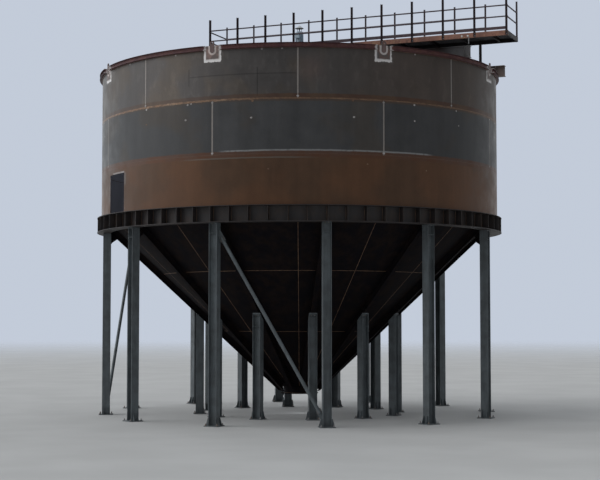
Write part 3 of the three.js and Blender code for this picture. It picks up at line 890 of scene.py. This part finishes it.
def make_shell():
    """Three courses in halves. The bottom course's upright welds are ground flush outside."""
    courses = (
        ("bottom", SHELL_FOOT, LOWER_SEAM, 22.5, bottom_steel, dull_weld),
        ("middle", LOWER_SEAM, UPPER_SEAM, 0.0, middle_steel, dull_weld),
        ("top", UPPER_SEAM, RIM, 22.5, top_steel, rusty_weld),
    )
    for name, low, high, joint, material, ring_weld in courses:
        for side, start in (("back", joint), ("front", joint + 180)):
            end = start + 180
            shape = Shape()
            if (name, side) == ("bottom", "front"):
                shape.add(doorway_course(low, high, start))
            else:
                shape.add(revolve(wall_outline(low, high), start, end, push=dent))
            for i in range(4):
                for inward in ((True,) if name == "bottom" else (False, True)):
                    shape.add(upright_bead(start + PLATE_STEP * i, low, high, inward), 1)
            for inward in (False, True):
                radius = SHELL_R - SHELL_PLATE * inward
                shape.add(ring_bead(radius, low, start, end, 0.018, 0.0028, low + 7 * inward, inward), 2)
            piece(f"{name}_course_{side}", shape, f"shell_{name}_steel", [material, plate_weld, ring_weld],
                  f"shell_{name}_course_{side}", sharp=40)


def ground_spot(shape, turn, height, size, mark=0):
    """A flat oval pad that is a little taller than wide in the shell's plane."""
    place = lay(polar(SHELL_R + dent(turn, height) - 0.0006, turn, height), polar(1, turn))
    pad = turned([(size, 0), (size * 0.9, 0.0013), (size * 0.55, 0.0022)], 12)
    shape.add(pad, mark, place @ Matrix.Diagonal((1, 1.2, 1, 1)))


def make_cleat_spots():
    shape = Shape()
    draw = random.Random(11)
    for third in (0, 120, 240):
        for degrees in CLEAT_FILES:
            for drop in CLEAT_DROPS:
                turn = degrees + third + draw.uniform(-0.6, 0.6)
                height = UPPER_SEAM - drop + draw.uniform(-0.02, 0.02)
                ground_spot(shape, turn, height, draw.uniform(0.022, 0.034), draw.choice((0, 0, 1)))
            if draw.random() < 0.3:
                ground_spot(shape, degrees + third + 4, LOWER_SEAM - draw.uniform(0.25, 0.45), 0.024, 1)
    for degrees in RIM_SPOTS:
        ground_spot(shape, degrees, RIM - RIM_SPOT_DROP, 0.026)
    ground_spot(shape, LONE_SPOT["turn"], UPPER_SEAM - LONE_SPOT["drop"], 0.024)
    for i in range(8):
        ground_spot(shape, PLATE_STEP * (i + 0.5), UPPER_SEAM + WELD_END_SPOT, 0.03)
        ground_spot(shape, PLATE_STEP * i, UPPER_SEAM - WELD_END_SPOT, 0.03)
        ground_spot(shape, PLATE_STEP * i, LOWER_SEAM + WELD_END_SPOT, 0.034)
    piece("cleat_spots", shape, "shell_top_steel", [ground_weld, rusty_weld])


# The curb channel and the lifting lugs

def lifting_lug(shape, turn):
    """A plate on the shell, and a tongue with a hole that stands on it and rises over the rim."""
    place = spin(turn)
    half = math.degrees(DOUBLER["wide"] / 2 / SHELL_R)
    inner = CURB["inside"]
    face = inner + DOUBLER["thick"]
    low = RIM - DOUBLER["tall"]
    edge = 0.002
    outline = [(inner, low), (face - edge, low), (face, low + edge)]
    outline += [(face, RIM - edge), (face - edge, RIM), (inner, RIM)]
    shape.add(revolve(outline, -half, half, 0.47), 3, place)

    r, top, corner = TONGUE["wide"] / 2, TONGUE["above"], TONGUE["corner"]
    foot = r - TONGUE["below"]
    tongue = arc(0, foot, r, 180, 360, 14)
    tongue += arc(r - corner, top - corner, corner, 0, 90, 5)
    tongue += arc(corner - r, top - corner, corner, 90, 180, 5)
    hole = circle(0, TONGUE["hole_up"], TONGUE["hole"], 20)
    stand = lay((face - 0.004, 0, RIM), OUT, (0, 1, 0))
    shape.add(plate(tongue, TONGUE["thick"], [hole]), 4, place @ stand)

    welds = [arc(0, foot, r + 0.003, 180, 360, 16)]
    welds += [[(x, z) for z in evenly(-0.004, foot, 10)] for x in (-r - 0.003, r + 0.003)]
    for i, weld in enumerate(welds):
        path = [Vector((face, y, RIM + z)) for y, z in weld]
        shape.add(bead(path, OUT, 0.024, 0.012, turn + i), 1, place)
    borders = [[polar(inner, side, z) for z in spaced(low, RIM - 0.004, 0.03)] for side in (-half, half)]
    borders.append([polar(inner, side, low) for side in evenly(-half, half, 16)])
    for i, path in enumerate(borders):
        outs = [Vector((p.x, p.y, 0)).normalized() for p in path]
        shape.add(bead(path, outs, 0.034, 0.012, turn * 2 + i), 1, place)


def make_curb():
    notch = math.degrees((DOUBLER["wide"] / 2 + 0.014) / CURB["inside"])
    low = RIM - CURB["tall"]
    flat = channel_outline(CURB["wide"], CURB["tall"], CURB["plate"], 0.009)
    outline = [(CURB["inside"] + x, low + z) for x, z in flat]
    for side, start in HALVES:
        shape = Shape()
        lugs = [start + 22.5 + LUG_STEP * i for i in range(4)]
        ends = [start] + [turn + s * notch for turn in lugs for s in (-1, 1)] + [start + 180]
        for a, b in zip(ends[::2], ends[1::2]):
            shape.add(revolve(outline, a, b))
            shape.add(ring_bead(SHELL_R + 0.004, low - 0.003, a, b, 0.01, 0.005, a), 2)
        for turn in lugs:
            lifting_lug(shape, turn)
        finishes = [curb_steel, lug_bead, rusty_weld, lug_steel, tongue_steel]
        piece(f"curb_{side}", shape, "curb_steel", finishes, f"curb_and_lugs_{side}")


# The ring girder under the shell

def make_ring_girder():
    """A ring with its flanges outward and its foot flange inward too, and stiffeners with cut corners."""
    foot, head = GIRDER_FOOT + GIRDER_FLANGE, SHELL_FOOT - GIRDER_FLANGE
    web_out, root = GIRDER_WEB + GIRDER_PLATE, 0.01
    outline = (
        [(GIRDER_INNER, GIRDER_FOOT), (GIRDER_OUT, GIRDER_FOOT), (GIRDER_OUT, foot)]
        + arc(web_out + root, foot + root, root, 270, 180, 3)
        + arc(web_out + root, head - root, root, 180, 90, 3)
        + [(GIRDER_OUT, head), (GIRDER_OUT, SHELL_FOOT), (GIRDER_WEB, SHELL_FOOT)]
        + arc(GIRDER_WEB - root, foot + root, root, 0, -90, 3)
        + [(GIRDER_INNER, foot)]
    )
    tip, tall, snipe = GIRDER_OUT - 0.01 - web_out, head - foot, 0.028
    snipped = [(snipe, 0), (tip, 0), (tip, tall), (snipe, tall), (0, tall - snipe), (0, snipe)]
    stiffener = fin(snipped, 0.012, web_out, foot)
    for side, start in HALVES:
        shape = Shape()
        shape.add(revolve(outline, start, start + 180))
        for turn in range(0, 360, STIFFENER_STEP):
            if not 0 < (turn - start) % 360 < 180:
                continue
            shape.add(stiffener, 0, spin(turn))
            for across in (-0.008, 0.008):
                path = [Vector((web_out, across, z)) for z in spaced(foot + snipe, head - snipe, 0.08)]
                shape.add(bead(path, OUT, 0.012, 0.006, turn + across), 1, spin(turn))
        shape.add(ring_bead(SHELL_R + 0.004, SHELL_FOOT + 0.002, start, start + 180, 0.014, 0.006, start), 1)
        piece(f"ring_girder_{side}_steel", shape, "girder_steel", [girder_steel, rusty_weld],
              f"ring_girder_{side}")


# The cone floor on its radial beams

CONE_WELD = (0.02, 0.0035)
HOOP_WELDS = (2.45, 4.4)


def sloped_bead(turn, inside, seed):
    lift = CONE_PLATE if inside else 0
    path = [Vector((r, 0, under_cone(r) + lift)) for r in evenly(0.56, 6.11, 110)]
    return move(bead(path, -CONE_OUT if inside else CONE_OUT, *CONE_WELD, seed), spin(turn))


def hoop_bead(radius, inside, start, end, seed):
    height = under_cone(radius) + (CONE_PLATE if inside else 0)
    turns = evenly(start, end, 90)
    outs = [spin(turn) @ (-CONE_OUT if inside else CONE_OUT) for turn in turns]
    return bead([polar(radius, turn, height) for turn in turns], outs, *CONE_WELD, seed)


def radial_beam(shape, turn):
    """An I-beam against the underside of the cone, cut upright at both ends, on an inner column's head."""
    place = spin(turn)
    deep, half = BEAM["deep"], COLUMN_SIDE / 2
    steep = math.hypot(1, CONE_SLOPE)
    lift = BEAM["lap"] - deep / 2
    outer = OUTER_COLUMN_R - half - 0.0003
    outline = beam_outline(BEAM["wide"], deep, BEAM["flange"], BEAM["web"], 0.014)
    ends = (CONE_MOUTH + 0.16, outer - 0.02)
    rings = [[Vector((r, y, under_cone(r) + (d + lift) * steep)) for y, d in outline] for r in ends]
    shape.add(loft(rings), 0, place)
    shape.add(block(outer - 0.025, outer, -half, half, BEAM["end_low"], BEAM["end_high"], 0.003), 0, place)
    tip, heel = outer - 0.2, outer - 0.02
    gusset = [(tip, under_cone(tip) - (deep - 0.01) * steep), (heel, BEAM["end_low"] + 0.02), (heel, 5.76)]
    shape.add(fin(gusset, 0.012), 0, place)

    slope = Vector((1, 0, CONE_SLOPE)).normalized()
    bolts = []
    for along in (-0.075, 0.075):
        radius = INNER_COLUMN_R + along
        head = Vector((radius, 0, under_cone(radius)))
        flange = head + CONE_OUT * (deep - BEAM["lap"] - BEAM["flange"])
        bolts += [place @ lay(flange + Vector((0, y, 0)), -CONE_OUT) for y in (-0.048, 0.048)]
        for side in (-1, 1):
            rib = prism(rectangle(0.034, 0.044, 0.004 * side, 0.07 * side), 0.008, deep - 0.014)
            shape.add(rib, 0, place @ lay(head, CONE_OUT, slope))
    shape.bolts(bolts, 0.02, 1)


def make_cone():
    radii = evenly(CONE_MOUTH, CONE_RIM, 14)
    outline = [(r, under_cone(r)) for r in radii] + [(r, under_cone(r) + CONE_PLATE) for r in reversed(radii)]

    def warp(turn, height):
        wave = noise.noise(polar(2.4, turn, height * 0.6))
        return 0.002 * wave * min(1.0, max(0.0, (height - 1.2) * 2)) * min(1.0, max(0.0, (6.0 - height) * 2))

    for i, side in enumerate(("right", "back", "left", "front")):
        start = -67.5 + 90 * i
        shape = Shape()
        shape.add(revolve(outline, start, start + 90, 1.5, warp))
        first = BEAM_STEP * math.ceil(start / BEAM_STEP)
        for turn in range(first, first + 90, BEAM_STEP):
            radial_beam(shape, turn)
            for inside in (False, True):
                shape.add(sloped_bead(turn - 15 + (7.5 if turn == first else 0), inside, turn), 2)
        for radius in HOOP_WELDS:
            for inside in (False, True):
                shape.add(hoop_bead(radius, inside, start, start + 90, radius + i), 2)
        piece(f"cone_{side}", shape, "cone_steel", [cone_steel, bolt_steel, rusty_weld],
              f"cone_floor_{side}", sharp=30)


def make_outlet():
    """A neck under the cone's mouth with a bolted flange."""
    shape = Shape()
    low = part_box("underflow_outlet")[0].z
    inner, outer, neck = CONE_MOUTH - 0.014, CONE_MOUTH + 0.11, CONE_MOUTH - 0.002
    holes = [circle(0, 0, inner, 96)]
    for turn in evenly(11.25, 348.75, 15):
        spot = polar(0.565, turn)
        holes.append(circle(spot.x, spot.y, 0.013, 12))
    shape.add(plate(circle(0, 0, outer - 0.001, 96), 0.024, holes), 0, shift(0, 0, low))
    top = CONE_FOOT + 0.03
    shape.add(revolve(rectangle(inner, neck, low + 0.024, top), step=3.75))
    turns = range(0, 360, 3)
    path = [polar(neck, turn, low + 0.026) for turn in turns]
    shape.add(bead(path, [polar(1, turn, 0.6).normalized() for turn in turns], 0.014, 0.006, 5, True), 1)
    piece("outlet_neck", shape, "cone_steel", [cone_steel, rusty_weld], "underflow_outlet")


# Columns and braces

def raked(body, slope, above=0.0):
    """Tilts the points above a height, so that they rise along X."""
    points, faces = body
    return [Vector((p.x, p.y, p.z + (slope * p.x if p.z > above else 0))) for p in points], faces


def column(name, radius, top, foot_side, turn, slope=0.0):
    """An I-section with base and cap plates. Its head may follow the slope of the cone."""
    shape = Shape()
    place = spin(turn) @ shift(radius, 0, 0)
    f, s = foot_side / 2, COLUMN_SIDE / 2
    base, cap = 0.025, 0.02 * math.hypot(1, slope)
    outline = beam_outline(COLUMN_SIDE, COLUMN_SIDE, COLUMN_FLANGE, COLUMN_WEB, 0.018)
    shape.add(raked(prism(outline, base, top - cap), slope, base + 0.01), 0, place)
    shape.add(block(-f, f, -f, f, 0, base, 0.003), 0, place)
    shape.add(raked(block(-s, s, -s, s, top - cap, top), slope), 0, place)
    reach = f - s - 0.012
    gusset = [(0, 0), (reach, 0), (reach, 0.03), (0.03, 0.22), (0, 0.22)]
    for side in (-1, 1):
        for x in (-0.075, 0.075):
            stand = lay((x - 0.006, side * s, base), OUT, (0, side, 0))
            shape.add(plate([(y, z * side) for y, z in gusset], 0.012), 0, place @ stand)
        x0, x1 = sorted((side * COLUMN_WEB / 2, side * (s - 0.004)))
        shape.add(block(x0, x1, -s + 0.014, s - 0.014, top - 0.3, top - 0.288, 0.001), 0, place)
    feet = [place @ lay((x, y, base), UP) for x, y in corner_points(f - 0.045, f - 0.045)]
    shape.bolts(feet, 0.03, 1, 0.06)
    down = Vector((slope, 0, -1)).normalized()
    heads = [place @ lay((x, y, top - cap + slope * x), down) for x, y in corner_points(0.07, 0.048)]
    shape.bolts(heads, 0.02, 1)
    group, _, number = name.split("_")
    piece(f"{group}_leg_{number}", shape, "column_steel", [column_steel, bolt_steel], name)


def make_columns():
    for i in range(12):
        turn = BEAM_STEP * i
        column(f"outer_column_{i + 1:02d}", OUTER_COLUMN_R, OUTER_COLUMN_TOP, 0.45, turn)
        column(f"inner_column_{i + 1:02d}", INNER_COLUMN_R, INNER_COLUMN_TOP, 0.4, turn, CONE_SLOPE)


def make_braces():
    """A tube from the head of one outer column to the foot of the next, with a gusset at each end."""
    half_step = math.radians(BEAM_STEP / 2)
    chord = 2 * OUTER_COLUMN_R * math.sin(half_step)
    face = COLUMN_SIDE / 2 / math.cos(half_step) + 0.002
    high, half, thick = BRACE["high"], BRACE["half"], BRACE["gusset"]
    length = math.hypot(chord, high - BRACE["low"])
    along = Vector((chord, BRACE["low"] - high, 0)) / length
    square = Vector((-along.y, along.x, 0))
    limits = ((0, face, 1), (0, chord - face, -1), (1, 0.026, 1), (1, OUTER_COLUMN_TOP - 0.021, -1))

    def at(s, t=0.0, out=0.0):
        """A place on the brace, in the upright plane through both columns."""
        return Vector((0, high, out)) + along * s + square * t

    for i, side in enumerate(("front", "right", "back", "left")):
        turn = -90 + 90 * i
        start, end = polar(OUTER_COLUMN_R, turn), polar(OUTER_COLUMN_R, turn + BEAM_STEP)
        level = (end - start).normalized()
        place = lay(start, (level.y, -level.x, 0), level)
        shape = Shape()
        shape.add(tube(place @ at(0.38), place @ at(length - 0.38), BRACE["tube_r"], 28))
        for a, b in ((-0.06, 0.52), (length - 0.52, length + 0.06)):
            outline = [at(s, t).xy for s, t in rectangle(a, b, -half, half)]
            for limit in limits:
                outline = clipped(outline, *limit)
            shape.add(plate(outline, thick), 0, place @ shift(0, 0, -thick / 2))
        for middle, way in ((0.385, 1), (length - 0.385, -1)):
            for face_side in (-1, 1):
                for offset in (-0.05, 0.05):
                    path = [at(middle + way * s, offset, face_side * thick / 2) for s in evenly(0, 0.13, 8)]
                    shape.add(bead(path, UP * face_side, 0.014, 0.007, middle + offset), 1, place)
        piece(f"tube_brace_{side}", shape, "column_steel", [column_steel, rusty_weld], f"brace_{side}")


# The bridge: two girders, the drive platform and the walkway

def make_girders():
    flange = 0.016
    outline = beam_outline(0.2, GIRDER_DEEP, flange, 0.01, 0.018)
    seat = math.sqrt(SHELL_R ** 2 - GIRDER_OFFSET ** 2)
    ribs = (-seat, -3.6, -1.1, 0.0, 1.1, 3.6, seat)
    for name, side in (("near", -1), ("far", 1)):
        shape = Shape()
        middle = side * GIRDER_OFFSET
        low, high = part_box(f"bridge_girder_{name}")
        place = shift(0, middle, RIM + GIRDER_DEEP / 2) @ ALONG_X
        shape.add(prism(outline, low.x - AXIS.x, high.x - AXIS.x), 0, place)
        for x in ribs:
            for y in (middle - 0.0505, middle + 0.0505):
                level = (x - 0.006, x + 0.006, y - 0.0455, y + 0.0455)
                shape.add(block(*level, RIM + flange, DECK - flange, 0.001))
        spots = [(end + x, middle + y) for end in (-seat, seat) for x, y in corner_points(0.05, 0.065)]
        shape.bolts([lay((x, y, RIM + flange), UP) for x, y in spots], 0.02, 1)
        piece(f"girder_{name}", shape, "bridge_steel", [beam_steel, bolt_steel], f"bridge_girder_{name}")


def make_platform():
    """A checkered floor on three cross beams, with an upright edge strip all round."""
    low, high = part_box("drive_platform")
    near, far, top = low.y, high.y, high.z
    half, beams, strip = 1.2, (-1.1, 0.0, 1.1), 0.006
    under, hem = top - 0.01, top - 0.075
    shape = Shape()
    shape.add(block(-half, half, near, far, under, top, 0.001), 1)
    deep = under - DECK
    for x in beams:
        outline = beam_outline(0.08, deep, 0.009, 0.006, 0.01)
        shape.add(prism(outline, near, far), 0, shift(x, 0, DECK + deep / 2) @ ALONG_Y)
    for y in (near, far - strip):
        shape.add(block(-half, half, y, y + strip, hem, under, 0.001))
    for x in (-half, half - strip):
        shape.add(block(x, x + strip, near, far, hem, under, 0.001))
    spots = [(x, near + 0.25 + 0.53 * i) for x in beams for i in range(7)]
    shape.bolts([lay((x, y, top - 0.0005), UP) for x, y in spots if math.hypot(x, y) > 0.5], 0.01, 2)
    piece("platform", shape, "bridge_steel", [bridge_steel, floor_steel, bolt_steel], "drive_platform")


def make_walkway():
    """Side channels with their backs outward, tied by end channels and cross members under the grating."""
    shape = Shape()
    outline = channel_outline(0.065, WALK_TOP - DECK, 0.009, 0.009)
    shape.add(prism([(WALK_OUTER + x, DECK + z) for x, z in outline], WALK_FROM, WALK_TO), 0, ALONG_X)
    shape.add(prism([(WALK_INNER - x, DECK + z) for x, z in outline], WALK_FROM, WALK_TO), 2, ALONG_X)
    between = (WALK_OUTER + 0.01, WALK_INNER - 0.01)
    end = channel_outline(0.04, WALK_TOP - DECK - 0.024, 0.008, 0.006)
    low = DECK + 0.012
    shape.add(prism([(WALK_FROM + x, low + z) for x, z in end], *between), 2, ALONG_Y)
    shape.add(prism([(WALK_TO - x, low + z) for x, z in end], *between), 5, ALONG_Y)
    cross = channel_outline(0.05, 0.095, 0.006, 0.006)
    for x in POSTS[:-1]:
        left = x + WALK_BAY / 2 - 0.025
        shape.add(prism([(left + u, DECK + 0.01 + z) for u, z in cross], *between), 2, ALONG_Y)
    for x in POSTS:
        for y, out in ((WALK_OUTER, -1), (WALK_INNER, 1)):
            for z in (DECK + 0.035, DECK + 0.105):
                shape.bolts([lay((x + 0.004, y + out * 0.0065, z), (0, out, 0))], 0.016, 1)

    # The bare strip that hangs from the outer channel, and two bright washers beside it
    strip, half = HANGER["x"], HANGER["wide"] / 2
    below, above = DECK - HANGER["below"], DECK + 0.012
    shape.add(block(strip - half, strip + half, WALK_OUTER - 0.006, WALK_OUTER, below, above, 0.001), 3)
    for x in (strip - 0.025, strip - 0.205):
        stand = lay((x, WALK_OUTER + 0.001, DECK + 0.055), (0, -1, 0))
        shape.add(turned([(0.03, 0.0), (0.03, 0.004), (0.028, 0.005)], 24), 4, stand)
        shape.bolts([stand @ shift(0, 0, 0.005)], 0.018, 4)
    finishes = [walkway_steel, bolt_steel, under_steel, hanger_steel, bright_steel, end_steel]
    piece("walkway_channels", shape, "bridge_steel", finishes, "walkway_frame")


def make_grating():
    """Panels of upright bearing bars across the walkway, tied by thin rods and edge bars."""
    low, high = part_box("walkway_grating")
    x0, x1 = low.x - AXIS.x, high.x - AXIS.x
    y0, y1 = low.y, high.y
    shape = Shape()
    pitch, bar, gap, rods = 0.04, 0.0045, 0.003, 10

    def strip(a, b, c, d, bottom=low.z, top=high.z):
        shape.add(prism(rectangle(a, b, c, d), bottom, top))

    ends = evenly(x0, x1, WALK_BAYS)
    for start, end in zip(ends, ends[1:]):
        start, end = start + gap, end - gap
        for y in (y0, y1 - bar):
            strip(start, end, y, y + bar)
        for x in evenly(start, end - bar, round((end - start) / pitch)):
            strip(x, x + bar, y0 + bar, y1 - bar)
        for y in evenly(y0, y1, rods)[1:-1]:
            strip(start, end, y - 0.003, y + 0.003, high.z - 0.007, high.z - 0.001)
    piece("grating", shape, "grating_steel", [grating_steel], "walkway_grating")


def handrail_post(shape, x, back, inward):
    """An angle post, one leg flat on the back of its channel."""
    leg = root = 0.006
    fillet = arc(leg + root, leg + root, root, 270, 180, 3)
    outline = [(0, 0), (POST_SIDE, 0), (POST_SIDE, leg)] + fillet + [(leg, POST_SIDE), (0, POST_SIDE)]
    points = [(x - POST_SIDE / 2 + u, back - inward * v) for u, v in outline]
    shape.add(prism(points, DECK + 0.002, POST_TOP), 1)


def rail_side(shape, back, inward, bays, drop):
    """The posts, rails and toe board along one side."""
    posts = POSTS[:bays + 1]
    start, end = posts[0] - RAIL_END, posts[-1] + RAIL_END
    for x in posts:
        handrail_post(shape, x, back, inward)
    line = back + inward * (RAIL_R - 0.003)
    for height in RAIL_HEIGHTS:
        z = height - drop
        shape.add(tube((start, line, z), (end, line, z), RAIL_R, 18))
        ring = circle(line, z, 0.016, 8)
        for x in posts:
            for way in (-1, 1):
                path = [Vector((x + way * POST_SIDE / 2, u, v)) for u, v in ring]
                shape.add(bead(path, OUT * way, 0.01, 0.005, x + z, True))
    face = sorted((back - inward * 0.002, back + inward * 0.004))
    low = WALK_TOP + TOE_BOARD["foot"]
    shape.add(block(start, end, *face, low, low + TOE_BOARD["tall"], 0.001), 2)


def make_handrails():
    """Two railed sides. Each of them also holds the rails across one end of the walkway."""
    first, last = POSTS[0], POSTS[-1]
    line = WALK_OUTER + RAIL_R - 0.003
    outer = Shape()
    rail_side(outer, WALK_OUTER, 1, WALK_BAYS, 0)
    handrail_post(outer, last, WALK_INNER, -1)
    inner = Shape()
    rail_side(inner, WALK_INNER, -1, WALK_BAYS - 1, INNER_RAIL_DROP)
    for z in RAIL_HEIGHTS:
        outer.add(tube((last, line + 0.01, z), (last, WALK_INNER + 0.002, z), RAIL_R, 18))
        low = z - INNER_RAIL_DROP
        inner.add(tube((first, WALK_INNER - RAIL_R, low), (first, WALK_OUTER + 0.0003, low), RAIL_R, 18))
    finishes = [rail_steel, post_steel, toe_steel]
    for name, shape in (("outer", outer), ("inner", inner)):
        piece(f"{name}_handrail", shape, "rail_steel", finishes, f"handrail_{name}")


def make_rim_post():
    shape = Shape()
    low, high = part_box("rim_post")
    half, corner = 0.035, 0.008
    place = spin(-8.0) @ shift(SHELL_R + half, 0, 0)
    outline = []
    for i, (x, y) in enumerate(((1, 1), (-1, 1), (-1, -1), (1, -1))):
        outline += arc(x * (half - corner), y * (half - corner), corner, 90 * i, 90 * i + 90, 3)
    shape.add(prism(outline, low.z, high.z - 0.006), 0, place)
    shape.add(block(-0.034, 0.034, -0.034, 0.034, high.z - 0.006, high.z, 0.001), 0, place)
    piece("curb_post", shape, "bridge_steel", [under_steel], "rim_post")


# The centre drive

def raised(profile, height):
    return [(radius, height + z) for radius, z in profile]


def make_gearbox():
    low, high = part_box("drive_gearbox")
    base, top = low.z, high.z
    shape = Shape()
    shape.add(block(-0.38, 0.38, -0.38, 0.38, base, base + 0.04, 0.004))
    drum = raised([(0.3, 0.04), (0.3, 0.07), (0.318, 0.075)], base)
    drum += raised([(0.318, -0.15), (0.32, -0.145), (0.32, -0.12), (0.296, -0.11), (0.205, -0.045),
                    (0.205, -0.022), (0.2, -0.02), (0.2, 0)], top)
    shape.add(turned(drum, 64))
    rib = fin([(0, 0), (0.056, 0), (0.056, 0.03), (0.01, 0.2), (0, 0.2)], 0.012, 0.31, base + 0.04)
    for i in range(12):
        shape.add(rib, 0, spin(30 * i + 15))
    shape.bolts([lay((x, y, base + 0.04), UP) for x, y in corner_points(0.33, 0.33)], 0.024, 1, 0.035)
    shape.bolts([spin(22.5 * i) @ lay((0.304, 0, top - 0.119), UP) for i in range(16)], 0.01, 1)
    shape.bolts([spin(45 * i) @ lay((0.185, 0, top - 0.0005), UP) for i in range(8)], 0.012, 1)
    shape.add(tube((0.3, 0.0, base + 0.16), (0.345, 0.0, base + 0.16), 0.022, 24), 1)
    piece("gearbox", shape, "drive_paint", [drive_paint, bolt_steel], "drive_gearbox")


def make_motor():
    """An upright motor: a flange, a finned body, a hood and a terminal box with a paler lid."""
    low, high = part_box("drive_motor")
    foot, head = low.z, high.z
    motor = Shape()
    body = raised([(0.17, 0), (0.17, 0.018), (0.15, 0.022), (0.112, 0.06), (0.112, 0.085), (0.118, 0.095),
                   (0.118, 0.62), (0.112, 0.63)], foot)
    motor.add(turned(body, 48))
    cooling_fin = fin([(0.1, 0.1), (0.133, 0.108), (0.133, 0.605), (0.1, 0.615)], 0.004, 0, foot)
    for turn in range(0, 360, 10):
        if not 248 < turn < 292:
            motor.add(cooling_fin, 0, spin(turn))
    hood = raised([(0.134, 0.635), (0.135, 0.64), (0.135, 0.66), (0.131, 0.68), (0.121, 0.705)], foot)
    motor.add(turned(hood + [(0.08, head - 0.012), (0.03, head - 0.001)], 48))

    box_foot, box_top = head - 0.258, head - 0.117
    motor.add(block(-0.068, 0.068, -0.196, -0.1, box_foot, box_top, 0.006))
    motor.add(block(-0.07, 0.07, -0.204, -0.194, box_foot - 0.002, box_top + 0.002, 0.003))
    motor.add(block(-0.036, 0.036, -0.2046, -0.203, box_foot + 0.03, box_top - 0.03, 0.0004), 2)
    motor.add(block(-0.068, 0.068, -0.2, -0.105, box_top, box_top + 0.003, 0.001), 3)
    motor.add(tube((0, -0.15, box_foot - 0.035), (0, -0.15, box_foot + 0.002), 0.016, 12), 1)
    motor.bolts([spin(90 * i + 45) @ lay((0.152, 0, foot + 0.018), UP) for i in range(4)], 0.012, 1)
    screws = [(x, z) for x in (-0.058, 0.058) for z in (box_foot + 0.012, box_top - 0.012)]
    motor.bolts([lay((x, -0.204, z), (0, -1, 0)) for x, z in screws], 0.005, 1)
    piece("motor", motor, "drive_paint", [drive_paint, bolt_steel, lid_paint, hat_steel], "drive_motor")


def make_rain_hat():
    """A bright cone of sheet on a middle stem and four thin legs."""
    low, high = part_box("rain_hat")
    foot, top = low.z, high.z
    edge = foot + 0.09
    hat = Shape()
    hat.add(turned([(0.018, foot), (0.018, edge + 0.004)], 16), 1)
    for i in range(4):
        leg = 90 * i + 23
        hat.add(tube(polar(0.066, leg, foot - 0.012), polar(0.066, leg, edge + 0.004), 0.008, 10), 1)
    cone = [(0.145, edge + 0.003), (0.142, edge + 0.009), (0.06, top - 0.04)]
    hat.add(turned(cone + [(0.012, top - 0.002), (0.003, top)], 48))
    hat.add(turned([(0.14, edge), (0.144, edge + 0.003)], 48), 1)
    piece("rain_cap", hat, "drive_paint", [hat_steel, hat_shade], "rain_hat")


# Floor, light and camera

BRIGHT_SIDE = (-0.926, 0.376, 0.1)
DIM_SHARE = 0.32
BRIGHT_SHARE = 1.0
FLOOR_R = 170.0
FLOOR_FADES = (38.0, 165.0)
FLOOR_SIDES = 96


def make_floor():
    mesh = bpy.data.meshes.new("studio_floor")
    rim = [polar(FLOOR_R, turn) for turn in evenly(0, 360, FLOOR_SIDES)[:-1]]
    faces = [[0, 1 + i, 1 + (i + 1) % FLOOR_SIDES] for i in range(FLOOR_SIDES)]
    mesh.from_pydata([Vector((0, 0, 0))] + rim, [], faces)
    floor = bpy.data.objects.new("studio_floor", mesh)
    bpy.context.scene.collection.objects.link(floor)
    g = Graph("pale_floor")
    g.colour = g.mix(g.noise(0.35, 4, 0.5).step(0.3, 0.7), (0.55, 0.55, 0.545), (0.6, 0.6, 0.595))
    g.finish(0.9, specular=0.1)
    clear = g.node("ShaderNodeBsdfTransparent").outputs[0]
    fade = g.out("ShaderNodeMixShader", g.radius.step(*FLOOR_FADES), g.shader.outputs["BSDF"], clear)
    g.put(g.output.inputs["Surface"], fade)
    mesh.materials.append(g.material)


def make_light():
    """A soft key from the left, in a studio that is brighter on the left too. The backdrop stays plain."""
    world = bpy.data.worlds.new("soft_studio")
    bpy.context.scene.world = world
    n = Nodes(world)
    place = n.node("ShaderNodeTexCoord").outputs["Generated"]
    toward = n.out("ShaderNodeVectorMath", place, BRIGHT_SIDE, operation="DOT_PRODUCT")
    strength = toward.step(-0.45, 0.95).blend(DIM_SHARE, BRIGHT_SHARE)
    lit = n.out("ShaderNodeBackground", (0.92, 0.96, 1.0), strength)
    backdrop = n.out("ShaderNodeBackground", (0.545, 0.6, 0.695))
    seen = n.node("ShaderNodeLightPath").outputs["Is Camera Ray"]
    n.node("ShaderNodeOutputWorld", n.out("ShaderNodeMixShader", seen, lit, backdrop))

    lamp = bpy.data.lights.new("key", "SUN")
    lamp.energy = 0.65
    lamp.angle = math.radians(60)
    lamp.color = (1.0, 0.985, 0.96)
    holder = bpy.data.objects.new("key", lamp)
    bpy.context.scene.collection.objects.link(holder)
    holder.rotation_euler = Vector((0.7, 0.37, -0.62)).to_track_quat("-Z", "Y").to_euler()
    bpy.context.scene.view_settings.view_transform = "Standard"


def make_camera():
    view_from, distance, height, pitch = -67.1, 45.63, 3.03, 3.24
    focal_pixels, image_width, sensor = 1400.0, 600.0, 36.0
    data = bpy.data.cameras.new("camera")
    data.sensor_width = sensor
    data.lens = focal_pixels / image_width * sensor
    data.shift_x = 0.001
    data.clip_end = 1000
    camera = bpy.data.objects.new("camera", data)
    bpy.context.scene.collection.objects.link(camera)
    camera.location = AXIS + polar(distance, view_from, height)
    aim = polar(-1, view_from, math.tan(math.radians(pitch)))
    camera.rotation_euler = aim.to_track_quat("-Z", "Y").to_euler()
    bpy.context.scene.camera = camera


make_camera()
make_light()
make_floor()
make_shell()
make_cleat_spots()
make_curb()
make_ring_girder()
make_cone()
make_outlet()
make_columns()
make_braces()
make_girders()
make_platform()
make_walkway()
make_grating()
make_handrails()
make_rim_post()
make_gearbox()
make_motor()
make_rain_hat()
